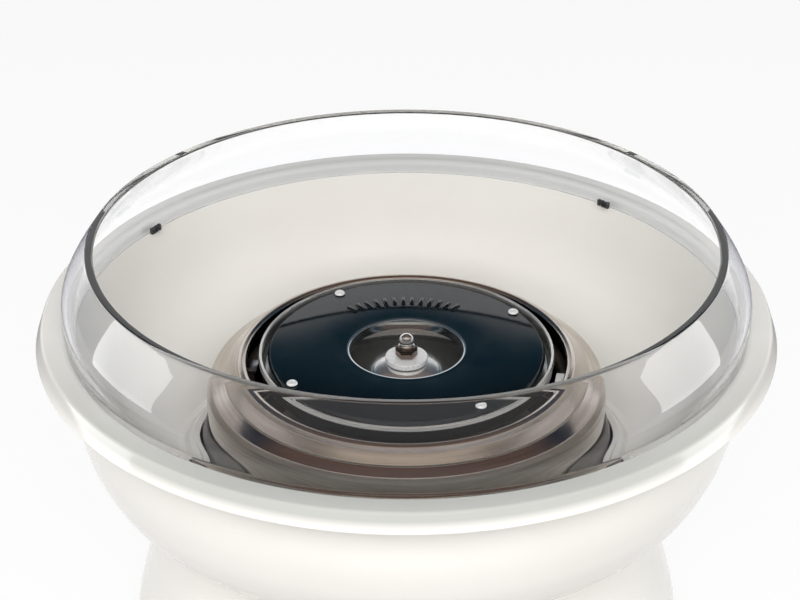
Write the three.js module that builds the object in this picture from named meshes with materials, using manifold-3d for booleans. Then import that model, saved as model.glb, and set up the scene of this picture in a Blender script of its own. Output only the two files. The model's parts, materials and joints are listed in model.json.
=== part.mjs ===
// Motor-driven cotton candy machine: a round base with its motor and heater, a spinning sugar head,
// a lift-off bowl and a clear splash guard. Millimetres, +Z up, origin on the table under the axis.
import * as THREE from 'three';
import { mergeVertices } from 'three/addons/utils/BufferGeometryUtils.js';
import Module from 'manifold-3d';

const wasm = await Module();
wasm.setup();

// Clearances
const SEAT = 0.3;             // gap between a piece and what carries it
const RUN = 1.2;              // gap between a spinning piece and what stands still

// Base
const FOOT_H = 7;             // underside of the base plate above the table
const FOOT_R = 11.5;
const FOOT_INSET = 27;        // circle of the feet inside the base's outer edge
const STEM_R = 3;             // stem of a foot, through the base plate
const PLATE_T = 2;
const DECK_Z = 78;            // height of the deck that carries the bowl
const DECK_W = 10.5;          // deck outside the collar's flange
const BASE_FLARE = 14;        // how much wider the base is at the bottom than at the deck
const SHELL_T = 2.8;
const DECK_HOLE_R = 30;
const BOSS_R = 4.5;           // screw bosses
const BOSS_INSET = 9;         // circle of the plate's bosses inside the deck's edge
const SCREW_R = 1.5;
const SCREW_HEAD_R = 3.3;
const SCREW_HEAD_H = 2.2;
const SCREW_L = 14;

// Bowl
const BOWL_H = 80;            // rim plane above the deck
const BOWL_R = 136;           // inside radius just under the rim
const BOWL_T = 2.5;
const RIM_W = 10.3;           // width of the flat rim
const SKIRT_H = 7.2;          // turned-down edge of the rim
const SKIRT_FLARE = 2.6;      // how far the skirt stands out past the flat rim
const UPSTAND_H = 8.4;        // upstand round the centre hole, above the floor
const UPSTAND_GAP = 0.8;      // between the seal and the upstand

// Splash guard
const GUARD_H = 30.4;         // mouth above the rim plane
const GUARD_LEAN = 9.5;       // mouth's outer radius inside the bowl's wall
const GUARD_T = 2.8;
const GUARD_BULGE = 3.8;      // how far the wall's curve is drawn out past its foot
const FOOT_OUT = 0.4;         // foot's outer radius past the bowl's inside radius
const FOOT_DROP = 5.3;        // how far the foot stands below the rim plane
const FOOT_RISE = 4.3;        // straight part of the foot
const FOOT_LEDGE_W = 1.8;     // ledge in the bowl that the foot stands on
const RIM_ROLL = 2.7;         // radius of the rim's rounded inner edge
const CLIP_W = 6.4;
const CLIP_H = 2.6;
const CLIP_ANGLES = [47.3, 147.2];

// Heat collar
const COLLAR_GAP = 5.4;       // from the pan's rim to the collar's mouth
const COLLAR_SHOULDER = 16.9; // from the collar's mouth out to its wall
const COLLAR_H = 55.1;        // top of its rolled rim above the deck
const COLLAR_T = 1;
const COLLAR_FLANGE_W = 5.9;  // flange on the deck outside the seal
const COLLAR_SCREW_ANGLES = [30, 150, 270];
const SEAL_T = 5.6;           // thickness at the seal's foot
const SEAL_H = 22;

// Spinning head
const HEAD_R = 60.7;          // rolled rim of the pan
const HEAD_PROUD = 2.6;       // pan's rim above the collar's rim
const PAN_DEPTH = 22.2;
const PAN_T = 1.2;
const PAN_FLARE = 5.5;        // the pan's wall, from its floor out to the ledge
const LEDGE_DROP = 7.2;       // ledge that carries the rivets, below the pan's rim
const LEDGE_INSET = 4.5;      // the ledge's inner edge inside the rivets' circle
const DISC_INSET = 3.5;       // the disc's edge inside the pan's rim
const DISC_T = 1.2;
const DISC_HOLE_R = 24.5;
const LIP_H = 4.6;
const BAND_T = 1.2;
const BAND_SLOTS = 14;
const SLOT_W = 1.2;
const RIVET_INSET = 3.2;      // the rivets' circle inside the disc's edge
const RIVET_R = 2.2;
const RIVET_SHANK_R = 1.3;
const RIVET_ANGLES = [32.5, 122.5, 212.5, 302.5];

// Shaft and its nut
const THREAD_R = 2.5;
const SHAFT_STEP = 0.5;       // shoulder that the pan stands on
const SHAFT_LIFT = 1.5;       // lower end above the base plate
const PIN_R = 1.2;
const PIN_L = 15;
const DRIVE_BOSS_R = 9;       // boss under the pan, slotted for the pin
const DRIVE_BOSS_H = 4.5;
const WASHER_DROP = 6.4;      // underside of the washer below the pan's rim
const WASHER_R = 8.7;
const WASHER_T = 2.8;
const NUT_FLATS = 8;
const NUT_H = 4.1;
const NUT_DOME_R = 3.15;
const NUT_DOME_RISE = 2.75;   // the dome's centre above the hexagon
const CONE_R = 22;
const CONE_LIP = 0.5;         // top of the cone outside the washer

// Heater
const TRAY_TOP = 10;          // top of the tray above the deck
const TRAY_T = 1;
const TRAY_MARGIN = 5;        // edge of its raised centre outside the element's circle
const TRAY_HOLE_R = 9;
const TUBE_R = 2.8;           // heating element
const RING_DROP = 12.4;       // element below the collar's rim
const HOLDER_WALL = 1.3;      // from the element's tube to the ceramic holder's faces
const HOLDER_W = 14;
const HOLDER_CORNER = 3;
const HOLDER_ANGLES = [-10, 110, 230];
const GAP_ANGLE = 50;         // where the element's two ends turn down
const GAP_HALF = 8;
const LEG_BEND = 6;
const BLOCK_GAP = 1.7;        // from the terminal block to the tray above it
const STRIP_W = 9;            // bent strip that carries the thermal cut-out
const STRIP_T = 1;
const STRIP_FOOT_L = 14;
const CUTOUT_ANGLE = 177;
const CUTOUT_R = 6;
const CUTOUT_T = 5.2;

// Motor
const CAN_R = 26;
const CAN_T = 1.5;
const CAN_DROP = 8;           // motor's top below the top of the deck
const FAN_ROOM = 15;          // height under the motor for its fan
const CAP_T = 3;
const BRACKET_T = 2;
const BRACKET_INSET = 8.5;    // bracket screws' circle outside the deck's hole
const BUSH_T = 3.2;           // wall of the shaft's bushes
const MAGNET_T = 5.7;
const MAGNET_GAP = 1;
const CORE_SLOTS = 5;
const TOOTH = 0.42;           // width of a tooth as a share of its pitch
const WINDING_H = 4.2;
const CORE_RISE = 6;          // above the brushes
const CORE_DROP = 8;          // below the can's ceiling
const COMMUTATOR_R = 7;
const BRUSH_W = 4.4;
const BRUSH_H = 4;
const FAN_R = 24;
const FAN_BLADES = 6;
const BLADE_T = 1.4;
const BLADE_PITCH = 28;

// Switch on the front and cord bush on the back
const PANEL_Z = 36;
const PANEL_INSET = 2;        // flat panels inside the base's outer edge
const PANEL_MARGIN = 4;
const SWITCH_W = 13;
const SWITCH_H = 19.4;
const SWITCH_DEPTH = 14;
const SWITCH_WALL = 1.1;
const BEZEL_W = 1.5;
const BEZEL_T = 2;
const TRUNNION_R = 1;
const ROCKER_TILT = 10;       // degrees either way
const CORD_BORE_R = 3.7;
const CORD_HOLE_R = 7;
const LEAD_R = 1.6;
const LEAD_RUN = 8;           // straight stretch behind the switch
const LEAD_SPREAD = 4;
const LEAD_RING_R = 80;       // the heater lead's way round the motor
const LEAD_RISE = 4;

// Roundness of the turned pieces, in flat sides
const LARGE = 36;
const MEDIUM = 28;
const MOTOR = 20;
const SMALL = 12;
const HOLE = 8;

// Radii that follow from the sizes above
const SHAFT_R = THREAD_R + SHAFT_STEP;
const DISC_R = HEAD_R - DISC_INSET;
const RIVET_RING = DISC_R - RIVET_INSET;
const LEDGE_R = RIVET_RING - LEDGE_INSET;
const PAN_FLOOR_R = LEDGE_R - PAN_FLARE;
const HOLDER_IN_R = HEAD_R + RUN;
const RING_R = HOLDER_IN_R + HOLDER_WALL + TUBE_R;
const TRAY_R = RING_R + TRAY_MARGIN;
const COLLAR_MOUTH_R = HEAD_R + COLLAR_GAP;
const COLLAR_R = COLLAR_MOUTH_R + COLLAR_SHOULDER;
const SEAL_R = COLLAR_R + SEAL_T;
const COLLAR_FLANGE_R = SEAL_R + COLLAR_FLANGE_W;
const COLLAR_SCREW_RING = (SEAL_R + COLLAR_FLANGE_R) / 2;
const DECK_R = COLLAR_FLANGE_R + DECK_W;
const BOSS_RING = DECK_R - BOSS_INSET;
const BASE_R = DECK_R + BASE_FLARE;
const FOOT_RING = BASE_R - FOOT_INSET;
const PANEL_Y = BASE_R - PANEL_INSET;
const RIM_R = BOWL_R + RIM_W;
const GUARD_FOOT_R = BOWL_R + FOOT_OUT;
const LIP_R = GUARD_FOOT_R + SEAT;
const GUARD_MOUTH_R = BOWL_R - GUARD_LEAN;
const BRACKET_RING = DECK_HOLE_R + BRACKET_INSET;
const BRACKET_R = BRACKET_RING + BOSS_R;
const BUSH_R = SHAFT_R + SEAT + BUSH_T;
const CAN_IN_R = CAN_R - CAN_T;
const MAGNET_OUT_R = CAN_IN_R - SEAT;
const MAGNET_IN_R = MAGNET_OUT_R - MAGNET_T;
const CORE_R = MAGNET_IN_R - MAGNET_GAP;

// Heights that follow from the sizes above
const RIM_Z = DECK_Z + BOWL_H;
const COLLAR_Z = DECK_Z + COLLAR_H;
const HEAD_Z = COLLAR_Z + HEAD_PROUD;
const PAN_Z = HEAD_Z - PAN_DEPTH;
const LEDGE_Z = HEAD_Z - LEDGE_DROP;
const DISC_Z = HEAD_Z - 0.1;
const TRAY_Z = DECK_Z + TRAY_TOP;
const RING_Z = COLLAR_Z - RING_DROP;
const PLATE_Z = FOOT_H + PLATE_T;
const CAN_TOP = DECK_Z - CAN_DROP;
const CAN_BOTTOM = PLATE_Z + FAN_ROOM;
const SHAFT_END_Z = PLATE_Z + SHAFT_LIFT;
const FLANGE_Z = DECK_Z + SEAT + COLLAR_T;

// Colours and finishes
const FINISH = {
  cream: { color: 0xe4dfd3, roughness: 0.25, metalness: 0 },
  clear: { color: 0xe8ecf4, roughness: 0.04, metalness: 0, transparent: true, opacity: 0.3 },
  black: { color: 0x0a1116, roughness: 0.14, metalness: 0.2 },
  brushed: { color: 0xb9b2aa, roughness: 0.3, metalness: 1 },
  aluminium: { color: 0xd2d3d6, roughness: 0.22, metalness: 1 },
  steel: { color: 0x9b9da1, roughness: 0.35, metalness: 1 },
  bright: { color: 0xe2e2e4, roughness: 0.1, metalness: 1 },
  element: { color: 0x2c2a29, roughness: 0.6, metalness: 0.7 },
  ceramic: { color: 0xf0eeea, roughness: 0.5, metalness: 0 },
  rubber: { color: 0x1b1b1c, roughness: 0.8, metalness: 0 },
  plastic: { color: 0x17181a, roughness: 0.45, metalness: 0 },
  seal: { color: 0x5c5450, roughness: 0.55, metalness: 0 },
  copper: { color: 0xb8673a, roughness: 0.35, metalness: 1 },
  bronze: { color: 0xa8834c, roughness: 0.4, metalness: 1 },
  iron: { color: 0x54565a, roughness: 0.5, metalness: 0.9 },
  carbon: { color: 0x222222, roughness: 0.7, metalness: 0.1 },
  lead: { color: 0xc9c4b8, roughness: 0.6, metalness: 0 },
};

const radians = THREE.MathUtils.degToRad;

// A closed surface with shared corners, no slivers and its faces pointing out
function closed(geometry) {
  geometry.deleteAttribute('normal');
  geometry.deleteAttribute('uv');
  const merged = mergeVertices(geometry, 1e-4);
  const place = merged.getAttribute('position');
  const faces = [];
  let volume = 0;
  for (let i = 0; i < merged.index.count; i += 3) {
    const [a, b, c] = [0, 1, 2].map((k) => merged.index.getX(i + k));
    if (a === b || b === c || c === a) continue;
    faces.push(a, b, c);
    const [p, q, r] = [a, b, c].map((n) => new THREE.Vector3().fromBufferAttribute(place, n));
    volume += p.dot(q.cross(r));
  }
  if (volume < 0) faces.reverse();
  merged.setIndex(faces);
  return merged;
}

function toManifold(geometry) {
  const vertProperties = new Float32Array(geometry.getAttribute('position').array);
  const triVerts = new Uint32Array(geometry.index.array);
  return new wasm.Manifold(new wasm.Mesh({ numProp: 3, vertProperties, triVerts }));
}

function fromManifold(solid) {
  const mesh = solid.getMesh();
  const geometry = new THREE.BufferGeometry();
  geometry.setAttribute('position', new THREE.BufferAttribute(mesh.vertProperties, 3));
  geometry.setIndex(new THREE.BufferAttribute(mesh.triVerts, 1));
  return geometry;
}

function join(...pieces) {
  return fromManifold(pieces.map(toManifold).reduce((a, b) => a.add(b)));
}

function cut(body, ...tools) {
  return fromManifold(tools.map(toManifold).reduce((a, b) => a.subtract(b), toManifold(body)));
}

// Turned about Z from a closed outline of [radius, height] points
function turned(points, sides) {
  const outline = points.map(([r, z]) => new THREE.Vector2(r, z));
  const onAxis = outline[0].x === 0 && outline[outline.length - 1].x === 0;
  if (!onAxis) outline.push(outline[0].clone());
  return closed(new THREE.LatheGeometry(outline, sides).rotateX(Math.PI / 2));
}

// Outline of a sheet: the points given are one face, the other lies one thickness to their right
function sheet(points, thickness) {
  const path = points.map(([r, z]) => new THREE.Vector2(r, z));
  const sides = path.slice(1).map((p, i) => {
    const along = p.clone().sub(path[i]).normalize();
    return new THREE.Vector2(along.y, -along.x);
  });
  const other = path.map((p, i) => {
    const before = sides[Math.max(i - 1, 0)];
    const after = sides[Math.min(i, sides.length - 1)];
    const mitre = before.clone().add(after).normalize();
    return p.clone().addScaledVector(mitre, thickness / mitre.dot(after));
  });
  return [...path, ...other.reverse()].map((p) => [p.x, p.y]);
}

function ring(inner, outer, low, high, sides = MEDIUM) {
  return turned([[inner, low], [outer, low], [outer, high], [inner, high]], sides);
}

function rod(radius, low, high, sides = SMALL) {
  return turned([[0, low], [radius, low], [radius, high], [0, high]], sides);
}

function block(x, y, z) {
  const [size, middle] = [[x, y, z].map(([a, b]) => b - a), [x, y, z].map(([a, b]) => (a + b) / 2)];
  return closed(new THREE.BoxGeometry(...size).translate(...middle));
}

function extruded(shape, low, high, curveSegments = 12) {
  const options = { depth: high - low, bevelEnabled: false, curveSegments };
  return closed(new THREE.ExtrudeGeometry(shape, options).translate(0, 0, low));
}

function aroundZ(geometry, angle) {
  return geometry.clone().rotateZ(radians(angle));
}

function at(geometry, x, y, z = 0) {
  return geometry.clone().translate(x, y, z);
}

function alongX(geometry) {
  return geometry.clone().rotateY(Math.PI / 2);
}

function alongY(geometry) {
  return geometry.clone().rotateX(-Math.PI / 2);
}

// Round tube along a smooth route
function tube(route, radius, steps, sides = 8) {
  const section = new THREE.Shape();
  for (let i = 0; i < sides; i += 1) {
    const a = (2 * Math.PI * i) / sides;
    const [x, y] = [radius * Math.cos(a), radius * Math.sin(a)];
    if (i === 0) section.moveTo(x, y);
    else section.lineTo(x, y);
  }
  const options = { steps, extrudePath: route, bevelEnabled: false };
  return closed(new THREE.ExtrudeGeometry(section, options));
}

const group = new THREE.Group();
const body = {};
for (const name of ['base', 'head', 'bowl', 'guard', 'rocker']) {
  body[name] = new THREE.Group();
  group.add(body[name]);
}

function piece(owner, name, geometry, finish) {
  const mesh = new THREE.Mesh(geometry, new THREE.MeshStandardMaterial(FINISH[finish]));
  mesh.name = name;
  body[owner].add(mesh);
  return mesh;
}

// A cross-headed screw with its head under or over the sheet that it holds
function screw(headR, headH, shankR, length, headDown) {
  const points = [
    [0, 0], [headR * 0.8, 0], [headR, headH * 0.4], [headR, headH],
    [shankR, headH], [shankR, headH + length - shankR], [0, headH + length],
  ];
  const shape = turned(points, 10);
  return headDown ? shape : closed(shape.rotateX(Math.PI));
}

// Rubber feet, each with a stem through the base plate
const FOOT_ANGLES = [45, 135, 225, 315];
const stemTop = PLATE_Z + 4;
const footShape = turned([
  [0, 1.6], [FOOT_R * 0.8, 0], [FOOT_R, 0], [FOOT_R * 0.72, FOOT_H - SEAT],
  [STEM_R, FOOT_H - SEAT], [STEM_R, PLATE_Z + SEAT], [STEM_R + 1.4, PLATE_Z + SEAT],
  [STEM_R - 0.5, stemTop], [0, stemTop],
], SMALL);
FOOT_ANGLES.forEach((angle, i) => {
  const foot = aroundZ(at(footShape, FOOT_RING, 0), angle);
  piece('base', `rubber_foot_${i + 1}`, foot, 'rubber');
});

// Base plate with vents under the fan
const PLATE_R = BASE_R - SHELL_T - 1;
const SCREW_ANGLES = [90, 210, 330];
const plateHoles = [
  ...FOOT_ANGLES.map((a) => aroundZ(at(rod(STEM_R + SEAT, 0, FOOT_H * 2, SMALL), FOOT_RING, 0), a)),
  ...SCREW_ANGLES.map((a) => aroundZ(at(rod(SCREW_R + SEAT, 0, FOOT_H * 2, HOLE), BOSS_RING, 0), a)),
];
const VENTS = 10;
const VENT_W = 3.2;
for (let i = 0; i < VENTS; i += 1) {
  const vent = block([FAN_R * 0.4, FAN_R * 1.3], [-VENT_W / 2, VENT_W / 2], [0, FOOT_H * 2]);
  plateHoles.push(aroundZ(vent, (360 * i) / VENTS + 15));
}
piece('base', 'base_plate', cut(rod(PLATE_R, FOOT_H, PLATE_Z, LARGE), ...plateHoles), 'plastic');

// Plate screws, up into bosses under the deck
SCREW_ANGLES.forEach((angle, i) => {
  const screwShape = screw(SCREW_HEAD_R, SCREW_HEAD_H, SCREW_R, SCREW_L, true);
  const shape = at(screwShape, BOSS_RING, 0, FOOT_H - SEAT - SCREW_HEAD_H);
  piece('base', `base_screw_${i + 1}`, aroundZ(shape, angle), 'steel');
});

// Base shell: side wall, deck, screw bosses, bracket bosses and the two flat panels
const shellFace = [
  [DECK_HOLE_R, DECK_Z], [DECK_R - 2, DECK_Z], [DECK_R, DECK_Z - 2],
  [DECK_R + BASE_FLARE * 0.14, DECK_Z * 0.8], [DECK_R + BASE_FLARE * 0.5, DECK_Z * 0.5],
  [DECK_R + BASE_FLARE * 0.89, DECK_Z * 0.24], [BASE_R, FOOT_H],
];
const shellBody = turned(sheet(shellFace, SHELL_T), LARGE);
const underDeck = DECK_Z - SHELL_T;
const bossShape = at(rod(BOSS_R, PLATE_Z + SEAT, underDeck + 1, HOLE), BOSS_RING, 0);
const bossHole = at(rod(SCREW_R + SEAT, PLATE_Z - 1, PLATE_Z + SCREW_L, HOLE), BOSS_RING, 0);
const BRACKET_ANGLES = [30, 150, 270];
const bracketTop = CAN_TOP + SEAT + BRACKET_T;
const hangerShape = at(rod(BOSS_R, bracketTop + SEAT, underDeck + 1, HOLE), BRACKET_RING, 0);
const hangerHole = at(rod(SCREW_R + SEAT, bracketTop, DECK_Z - 1, HOLE), BRACKET_RING, 0);
const wallAtPanel = DECK_R + 2;
const panelW = SWITCH_W + 4 * PANEL_MARGIN;
const panelH = SWITCH_H + 2 * PANEL_MARGIN;
function panel(width, height, side) {
  const [inner, outer] = [wallAtPanel - 6, PANEL_Y];
  const z = [PANEL_Z - height / 2, PANEL_Z + height / 2];
  const y = side < 0 ? [-outer, -inner] : [inner, outer];
  return block([-width / 2, width / 2], y, z);
}
function panelHollow(width, height, side) {
  const [w, h] = [width / 2 - SHELL_T, height / 2 - SHELL_T];
  const [inner, outer] = [wallAtPanel - 14, PANEL_Y - SHELL_T];
  const y = side < 0 ? [-outer, -inner] : [inner, outer];
  return block([-w, w], y, [PANEL_Z - h, PANEL_Z + h]);
}
const rearSize = 2 * (CORD_HOLE_R + PANEL_MARGIN + SHELL_T);
const switchHole = block([-SWITCH_W / 2, SWITCH_W / 2], [-PANEL_Y - 1, -wallAtPanel],
  [PANEL_Z - SWITCH_H / 2, PANEL_Z + SWITCH_H / 2]);
const bushHole = at(alongY(rod(CORD_HOLE_R, wallAtPanel, PANEL_Y + 1)), 0, 0, PANEL_Z);
const LEAD_HOLE_R = LEAD_R + 3.4;
const leadHole = aroundZ(at(rod(LEAD_HOLE_R, underDeck - 1, DECK_Z + 1, SMALL), RING_R, 0), GAP_ANGLE);
const collarScrewHole = at(rod(SCREW_R + SEAT, underDeck - 1, DECK_Z + 1, HOLE), COLLAR_SCREW_RING, 0);
const shell = join(
  shellBody,
  panel(panelW, panelH, -1),
  panel(rearSize, rearSize, 1),
  ...SCREW_ANGLES.map((a) => aroundZ(bossShape, a)),
  ...BRACKET_ANGLES.map((a) => aroundZ(hangerShape, a)),
);
piece('base', 'base_shell', cut(
  shell,
  panelHollow(panelW, panelH, -1),
  panelHollow(rearSize, rearSize, 1),
  switchHole,
  bushHole,
  leadHole,
  ...SCREW_ANGLES.map((a) => aroundZ(bossHole, a)),
  ...COLLAR_SCREW_ANGLES.map((a) => aroundZ(collarScrewHole, a)),
  ...BRACKET_ANGLES.map((a) => aroundZ(hangerHole, a)),
), 'cream');

// Heat collar: drawn sheet with a rolled rim, a sloping ledge and a flange screwed to the deck
const collarFace = [
  [COLLAR_MOUTH_R, COLLAR_Z - 2.9], [COLLAR_MOUTH_R, COLLAR_Z - 0.8], [COLLAR_MOUTH_R + 1, COLLAR_Z],
  [COLLAR_MOUTH_R + COLLAR_SHOULDER * 0.195, COLLAR_Z - 0.3],
  [COLLAR_MOUTH_R + COLLAR_SHOULDER * 0.308, COLLAR_Z - 3],
  [COLLAR_MOUTH_R + COLLAR_SHOULDER * 0.527, COLLAR_Z - 5.7],
  [COLLAR_MOUTH_R + COLLAR_SHOULDER * 0.911, COLLAR_Z - 11.3],
  [COLLAR_R, COLLAR_Z - 14.5], [COLLAR_R, FLANGE_Z], [COLLAR_FLANGE_R, FLANGE_Z],
];
const flangeHole = at(rod(SCREW_R + SEAT, DECK_Z - 1, FLANGE_Z + 1, HOLE), COLLAR_SCREW_RING, 0);
piece('base', 'heat_collar', cut(
  turned(sheet(collarFace, COLLAR_T), MEDIUM),
  ...COLLAR_SCREW_ANGLES.map((a) => aroundZ(flangeHole, a)),
), 'brushed');

// Collar screws, under the bowl's raised floor
const LOW_HEAD_H = 1.6;
COLLAR_SCREW_ANGLES.forEach((angle, i) => {
  const shape = at(screw(2.4, LOW_HEAD_H, SCREW_R, 8, false), COLLAR_SCREW_RING, 0,
    FLANGE_Z + SEAT + LOW_HEAD_H);
  piece('base', `collar_screw_${i + 1}`, aroundZ(shape, angle), 'steel');
});

// Flared seal round the foot of the collar
const sealBottom = FLANGE_Z + SEAT;
const sealIn = COLLAR_R + SEAT;
piece('base', 'collar_seal', turned([
  [sealIn, sealBottom + 1], [sealIn + 1, sealBottom], [SEAL_R, sealBottom],
  [SEAL_R, sealBottom + SEAL_H * 0.15], [SEAL_R - 0.6, sealBottom + SEAL_H * 0.42],
  [SEAL_R - 2, sealBottom + SEAL_H * 0.71], [sealIn + 0.9, sealBottom + SEAL_H],
  [sealIn, sealBottom + SEAL_H],
], MEDIUM), 'seal');

// Heat tray: a raised sheet on the deck, with holes for the shaft and the element's ends
const trayFace = [
  [TRAY_HOLE_R, TRAY_Z], [TRAY_R - 2, TRAY_Z], [TRAY_R, TRAY_Z - 2], [TRAY_R, FLANGE_Z + 0.5],
  [TRAY_R + 0.5, FLANGE_Z], [COLLAR_R - COLLAR_T - 1, FLANGE_Z],
];
const legHole = at(rod(TUBE_R + 1, TRAY_Z - 3, TRAY_Z + 1, SMALL), RING_R, 0);
piece('base', 'heat_tray', cut(
  turned(sheet(trayFace, TRAY_T), MEDIUM),
  aroundZ(legHole, GAP_ANGLE - GAP_HALF),
  aroundZ(legHole, GAP_ANGLE + GAP_HALF),
), 'aluminium');

// Ring-shaped heating element: one unbroken tube whose two ends turn down through the tray
const blockTop = TRAY_Z - TRAY_T - BLOCK_GAP;
const legEnd = blockTop + SEAT;
const elementRoute = [];
const firstAngle = GAP_ANGLE + GAP_HALF;
const lastAngle = GAP_ANGLE - GAP_HALF + 360;
function onRing(angle, z) {
  return new THREE.Vector3(RING_R * Math.cos(radians(angle)), RING_R * Math.sin(radians(angle)), z);
}
elementRoute.push(onRing(firstAngle, legEnd), onRing(firstAngle, RING_Z - LEG_BEND));
const BEND_ANGLE = 5;
for (let angle = firstAngle + BEND_ANGLE; angle <= lastAngle - BEND_ANGLE + 0.01; angle += 11) {
  elementRoute.push(onRing(angle, RING_Z));
}
elementRoute.push(onRing(lastAngle, RING_Z - LEG_BEND), onRing(lastAngle, legEnd));
const elementCurve = new THREE.CatmullRomCurve3(elementRoute, false, 'centripetal');
piece('base', 'heater_ring', tube(elementCurve, TUBE_R, 60, 6), 'element');

// Ceramic terminal block under the tray, over the deck's lead hole
const blockHalf = RING_R * Math.sin(radians(GAP_HALF)) + TUBE_R;
piece('base', 'terminal_block', aroundZ(
  block([RING_R - 6, RING_R + 1.5], [-blockHalf, blockHalf], [DECK_Z + SEAT, blockTop]),
  GAP_ANGLE,
), 'ceramic');

// Ceramic holders that stand on the tray and carry the element
const holderOut = RING_R + TUBE_R + HOLDER_WALL;
const holderTop = LEDGE_Z - PAN_T - SEAT;
const holderFace = new THREE.Shape();
const [halfW, corner] = [HOLDER_W / 2, HOLDER_CORNER];
holderFace.moveTo(-halfW, TRAY_Z + SEAT);
holderFace.lineTo(halfW, TRAY_Z + SEAT);
holderFace.lineTo(halfW, holderTop - corner);
holderFace.absarc(halfW - corner, holderTop - corner, corner, 0, Math.PI / 2, false);
holderFace.absarc(-halfW + corner, holderTop - corner, corner, Math.PI / 2, Math.PI, false);
const holderSolid = extruded(holderFace, HOLDER_IN_R, holderOut, 4)
  .rotateX(Math.PI / 2).rotateZ(Math.PI / 2);
const elementHole = at(alongY(rod(TUBE_R + 2 * SEAT, -HOLDER_W, HOLDER_W, 12)), RING_R, 0, RING_Z);
HOLDER_ANGLES.forEach((angle, i) => {
  piece('base', `ceramic_holder_${i + 1}`, aroundZ(cut(holderSolid, elementHole), angle), 'ceramic');
});

// Bent metal strip and the thermal cut-out on it
const stripOut = RING_R + TUBE_R + STRIP_T;
const stripFoot = TRAY_Z + SEAT;
const armLow = RING_Z + TUBE_R + 2 * SEAT;
const stripSide = new THREE.Shape();
stripSide.moveTo(stripOut - STRIP_FOOT_L, stripFoot);
stripSide.lineTo(stripOut, stripFoot);
stripSide.lineTo(stripOut, armLow + STRIP_T);
stripSide.lineTo(HOLDER_IN_R + SEAT, armLow + STRIP_T);
stripSide.lineTo(HOLDER_IN_R + SEAT, armLow);
stripSide.lineTo(stripOut - STRIP_T + SEAT, armLow);
stripSide.lineTo(stripOut - STRIP_T + SEAT, stripFoot + STRIP_T);
stripSide.lineTo(stripOut - STRIP_FOOT_L, stripFoot + STRIP_T);
const strip = extruded(stripSide, -STRIP_W / 2, STRIP_W / 2).rotateX(Math.PI / 2);
piece('base', 'cutout_bracket', aroundZ(strip, CUTOUT_ANGLE), 'steel');
const cutoutShape = turned([
  [0, 0], [CUTOUT_R, 0], [CUTOUT_R, CUTOUT_T * 0.77], [CUTOUT_R * 0.8, CUTOUT_T], [0, CUTOUT_T],
], SMALL).rotateY(-Math.PI / 2);
const cutoutPlace = at(cutoutShape, stripOut - STRIP_T, 0, stripFoot + STRIP_T + SEAT + CUTOUT_R);
piece('base', 'thermal_cutout', aroundZ(cutoutPlace, CUTOUT_ANGLE), 'bright');

// Motor bracket hung from the deck
const bracketHoles = BRACKET_ANGLES.map(
  (a) => aroundZ(at(rod(SCREW_R + SEAT, CAN_TOP - 1, DECK_Z, HOLE), BRACKET_RING, 0), a),
);
piece('base', 'motor_bracket', cut(
  ring(BUSH_R + 1, BRACKET_R, CAN_TOP + SEAT, bracketTop, MOTOR),
  ...bracketHoles,
), 'steel');

// Bracket screws, up into the bosses under the deck
BRACKET_ANGLES.forEach((angle, i) => {
  const screwShape = screw(SCREW_HEAD_R, SCREW_HEAD_H, SCREW_R, underDeck - CAN_TOP - 1, true);
  const shape = at(screwShape, BRACKET_RING, 0, CAN_TOP - SCREW_HEAD_H);
  piece('base', `bracket_screw_${i + 1}`, aroundZ(shape, angle), 'steel');
});

// Motor can, hanging under the bracket
const canFace = [
  [BUSH_R + SEAT, CAN_TOP], [CAN_R - 1.5, CAN_TOP], [CAN_R, CAN_TOP - 1.5], [CAN_R, CAN_BOTTOM],
];
piece('base', 'motor_can', turned(sheet(canFace, CAN_T), MOTOR), 'steel');

// End cap with its two brush rests
const capTop = CAN_BOTTOM - SEAT;
const spigotTop = CAN_BOTTOM + 3;
const capIn = CAN_IN_R - SEAT;
const BRUSH_Z = CAN_BOTTOM + 3.5;
const cap = turned([
  [BUSH_R + SEAT, capTop - CAP_T], [CAN_R, capTop - CAP_T], [CAN_R, capTop], [capIn, capTop],
  [capIn, spigotTop], [capIn - 2, spigotTop], [capIn - 2, capTop], [BUSH_R + SEAT, capTop],
], MOTOR);
function acrossShaft(side, near, far, width, heights) {
  const y = side < 0 ? [-far, -near] : [near, far];
  return block([-width / 2, width / 2], y, heights);
}
const rests = [-1, 1].map((side) => acrossShaft(
  side, COMMUTATOR_R + 3, capIn - 1, BRUSH_W + 1.6, [capTop - 1, BRUSH_Z - SEAT],
));
piece('base', 'motor_end_cap', join(cap, ...rests), 'plastic');
[-1, 1].forEach((side, i) => {
  const heights = [BRUSH_Z, BRUSH_Z + BRUSH_H];
  const brush = acrossShaft(side, COMMUTATOR_R + SEAT, capIn - 4, BRUSH_W, heights);
  piece('base', `brush_${i + 1}`, brush, 'carbon');
});

// Bushes that carry the shaft, upper with a collar under the can's top
const shaftHole = SHAFT_R + SEAT;
const canCeiling = CAN_TOP - CAN_T;
const bushFlange = 2;
const upperSeat = canCeiling - SEAT;
piece('base', 'upper_bush', turned([
  [shaftHole, upperSeat - bushFlange], [BUSH_R + bushFlange, upperSeat - bushFlange],
  [BUSH_R + bushFlange, upperSeat], [BUSH_R, upperSeat], [BUSH_R, bracketTop], [shaftHole, bracketTop],
], SMALL), 'bronze');
const bushLow = capTop - CAP_T - 1.5;
piece('base', 'lower_bush', ring(shaftHole, BUSH_R, bushLow, capTop + SEAT, SMALL), 'bronze');

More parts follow.
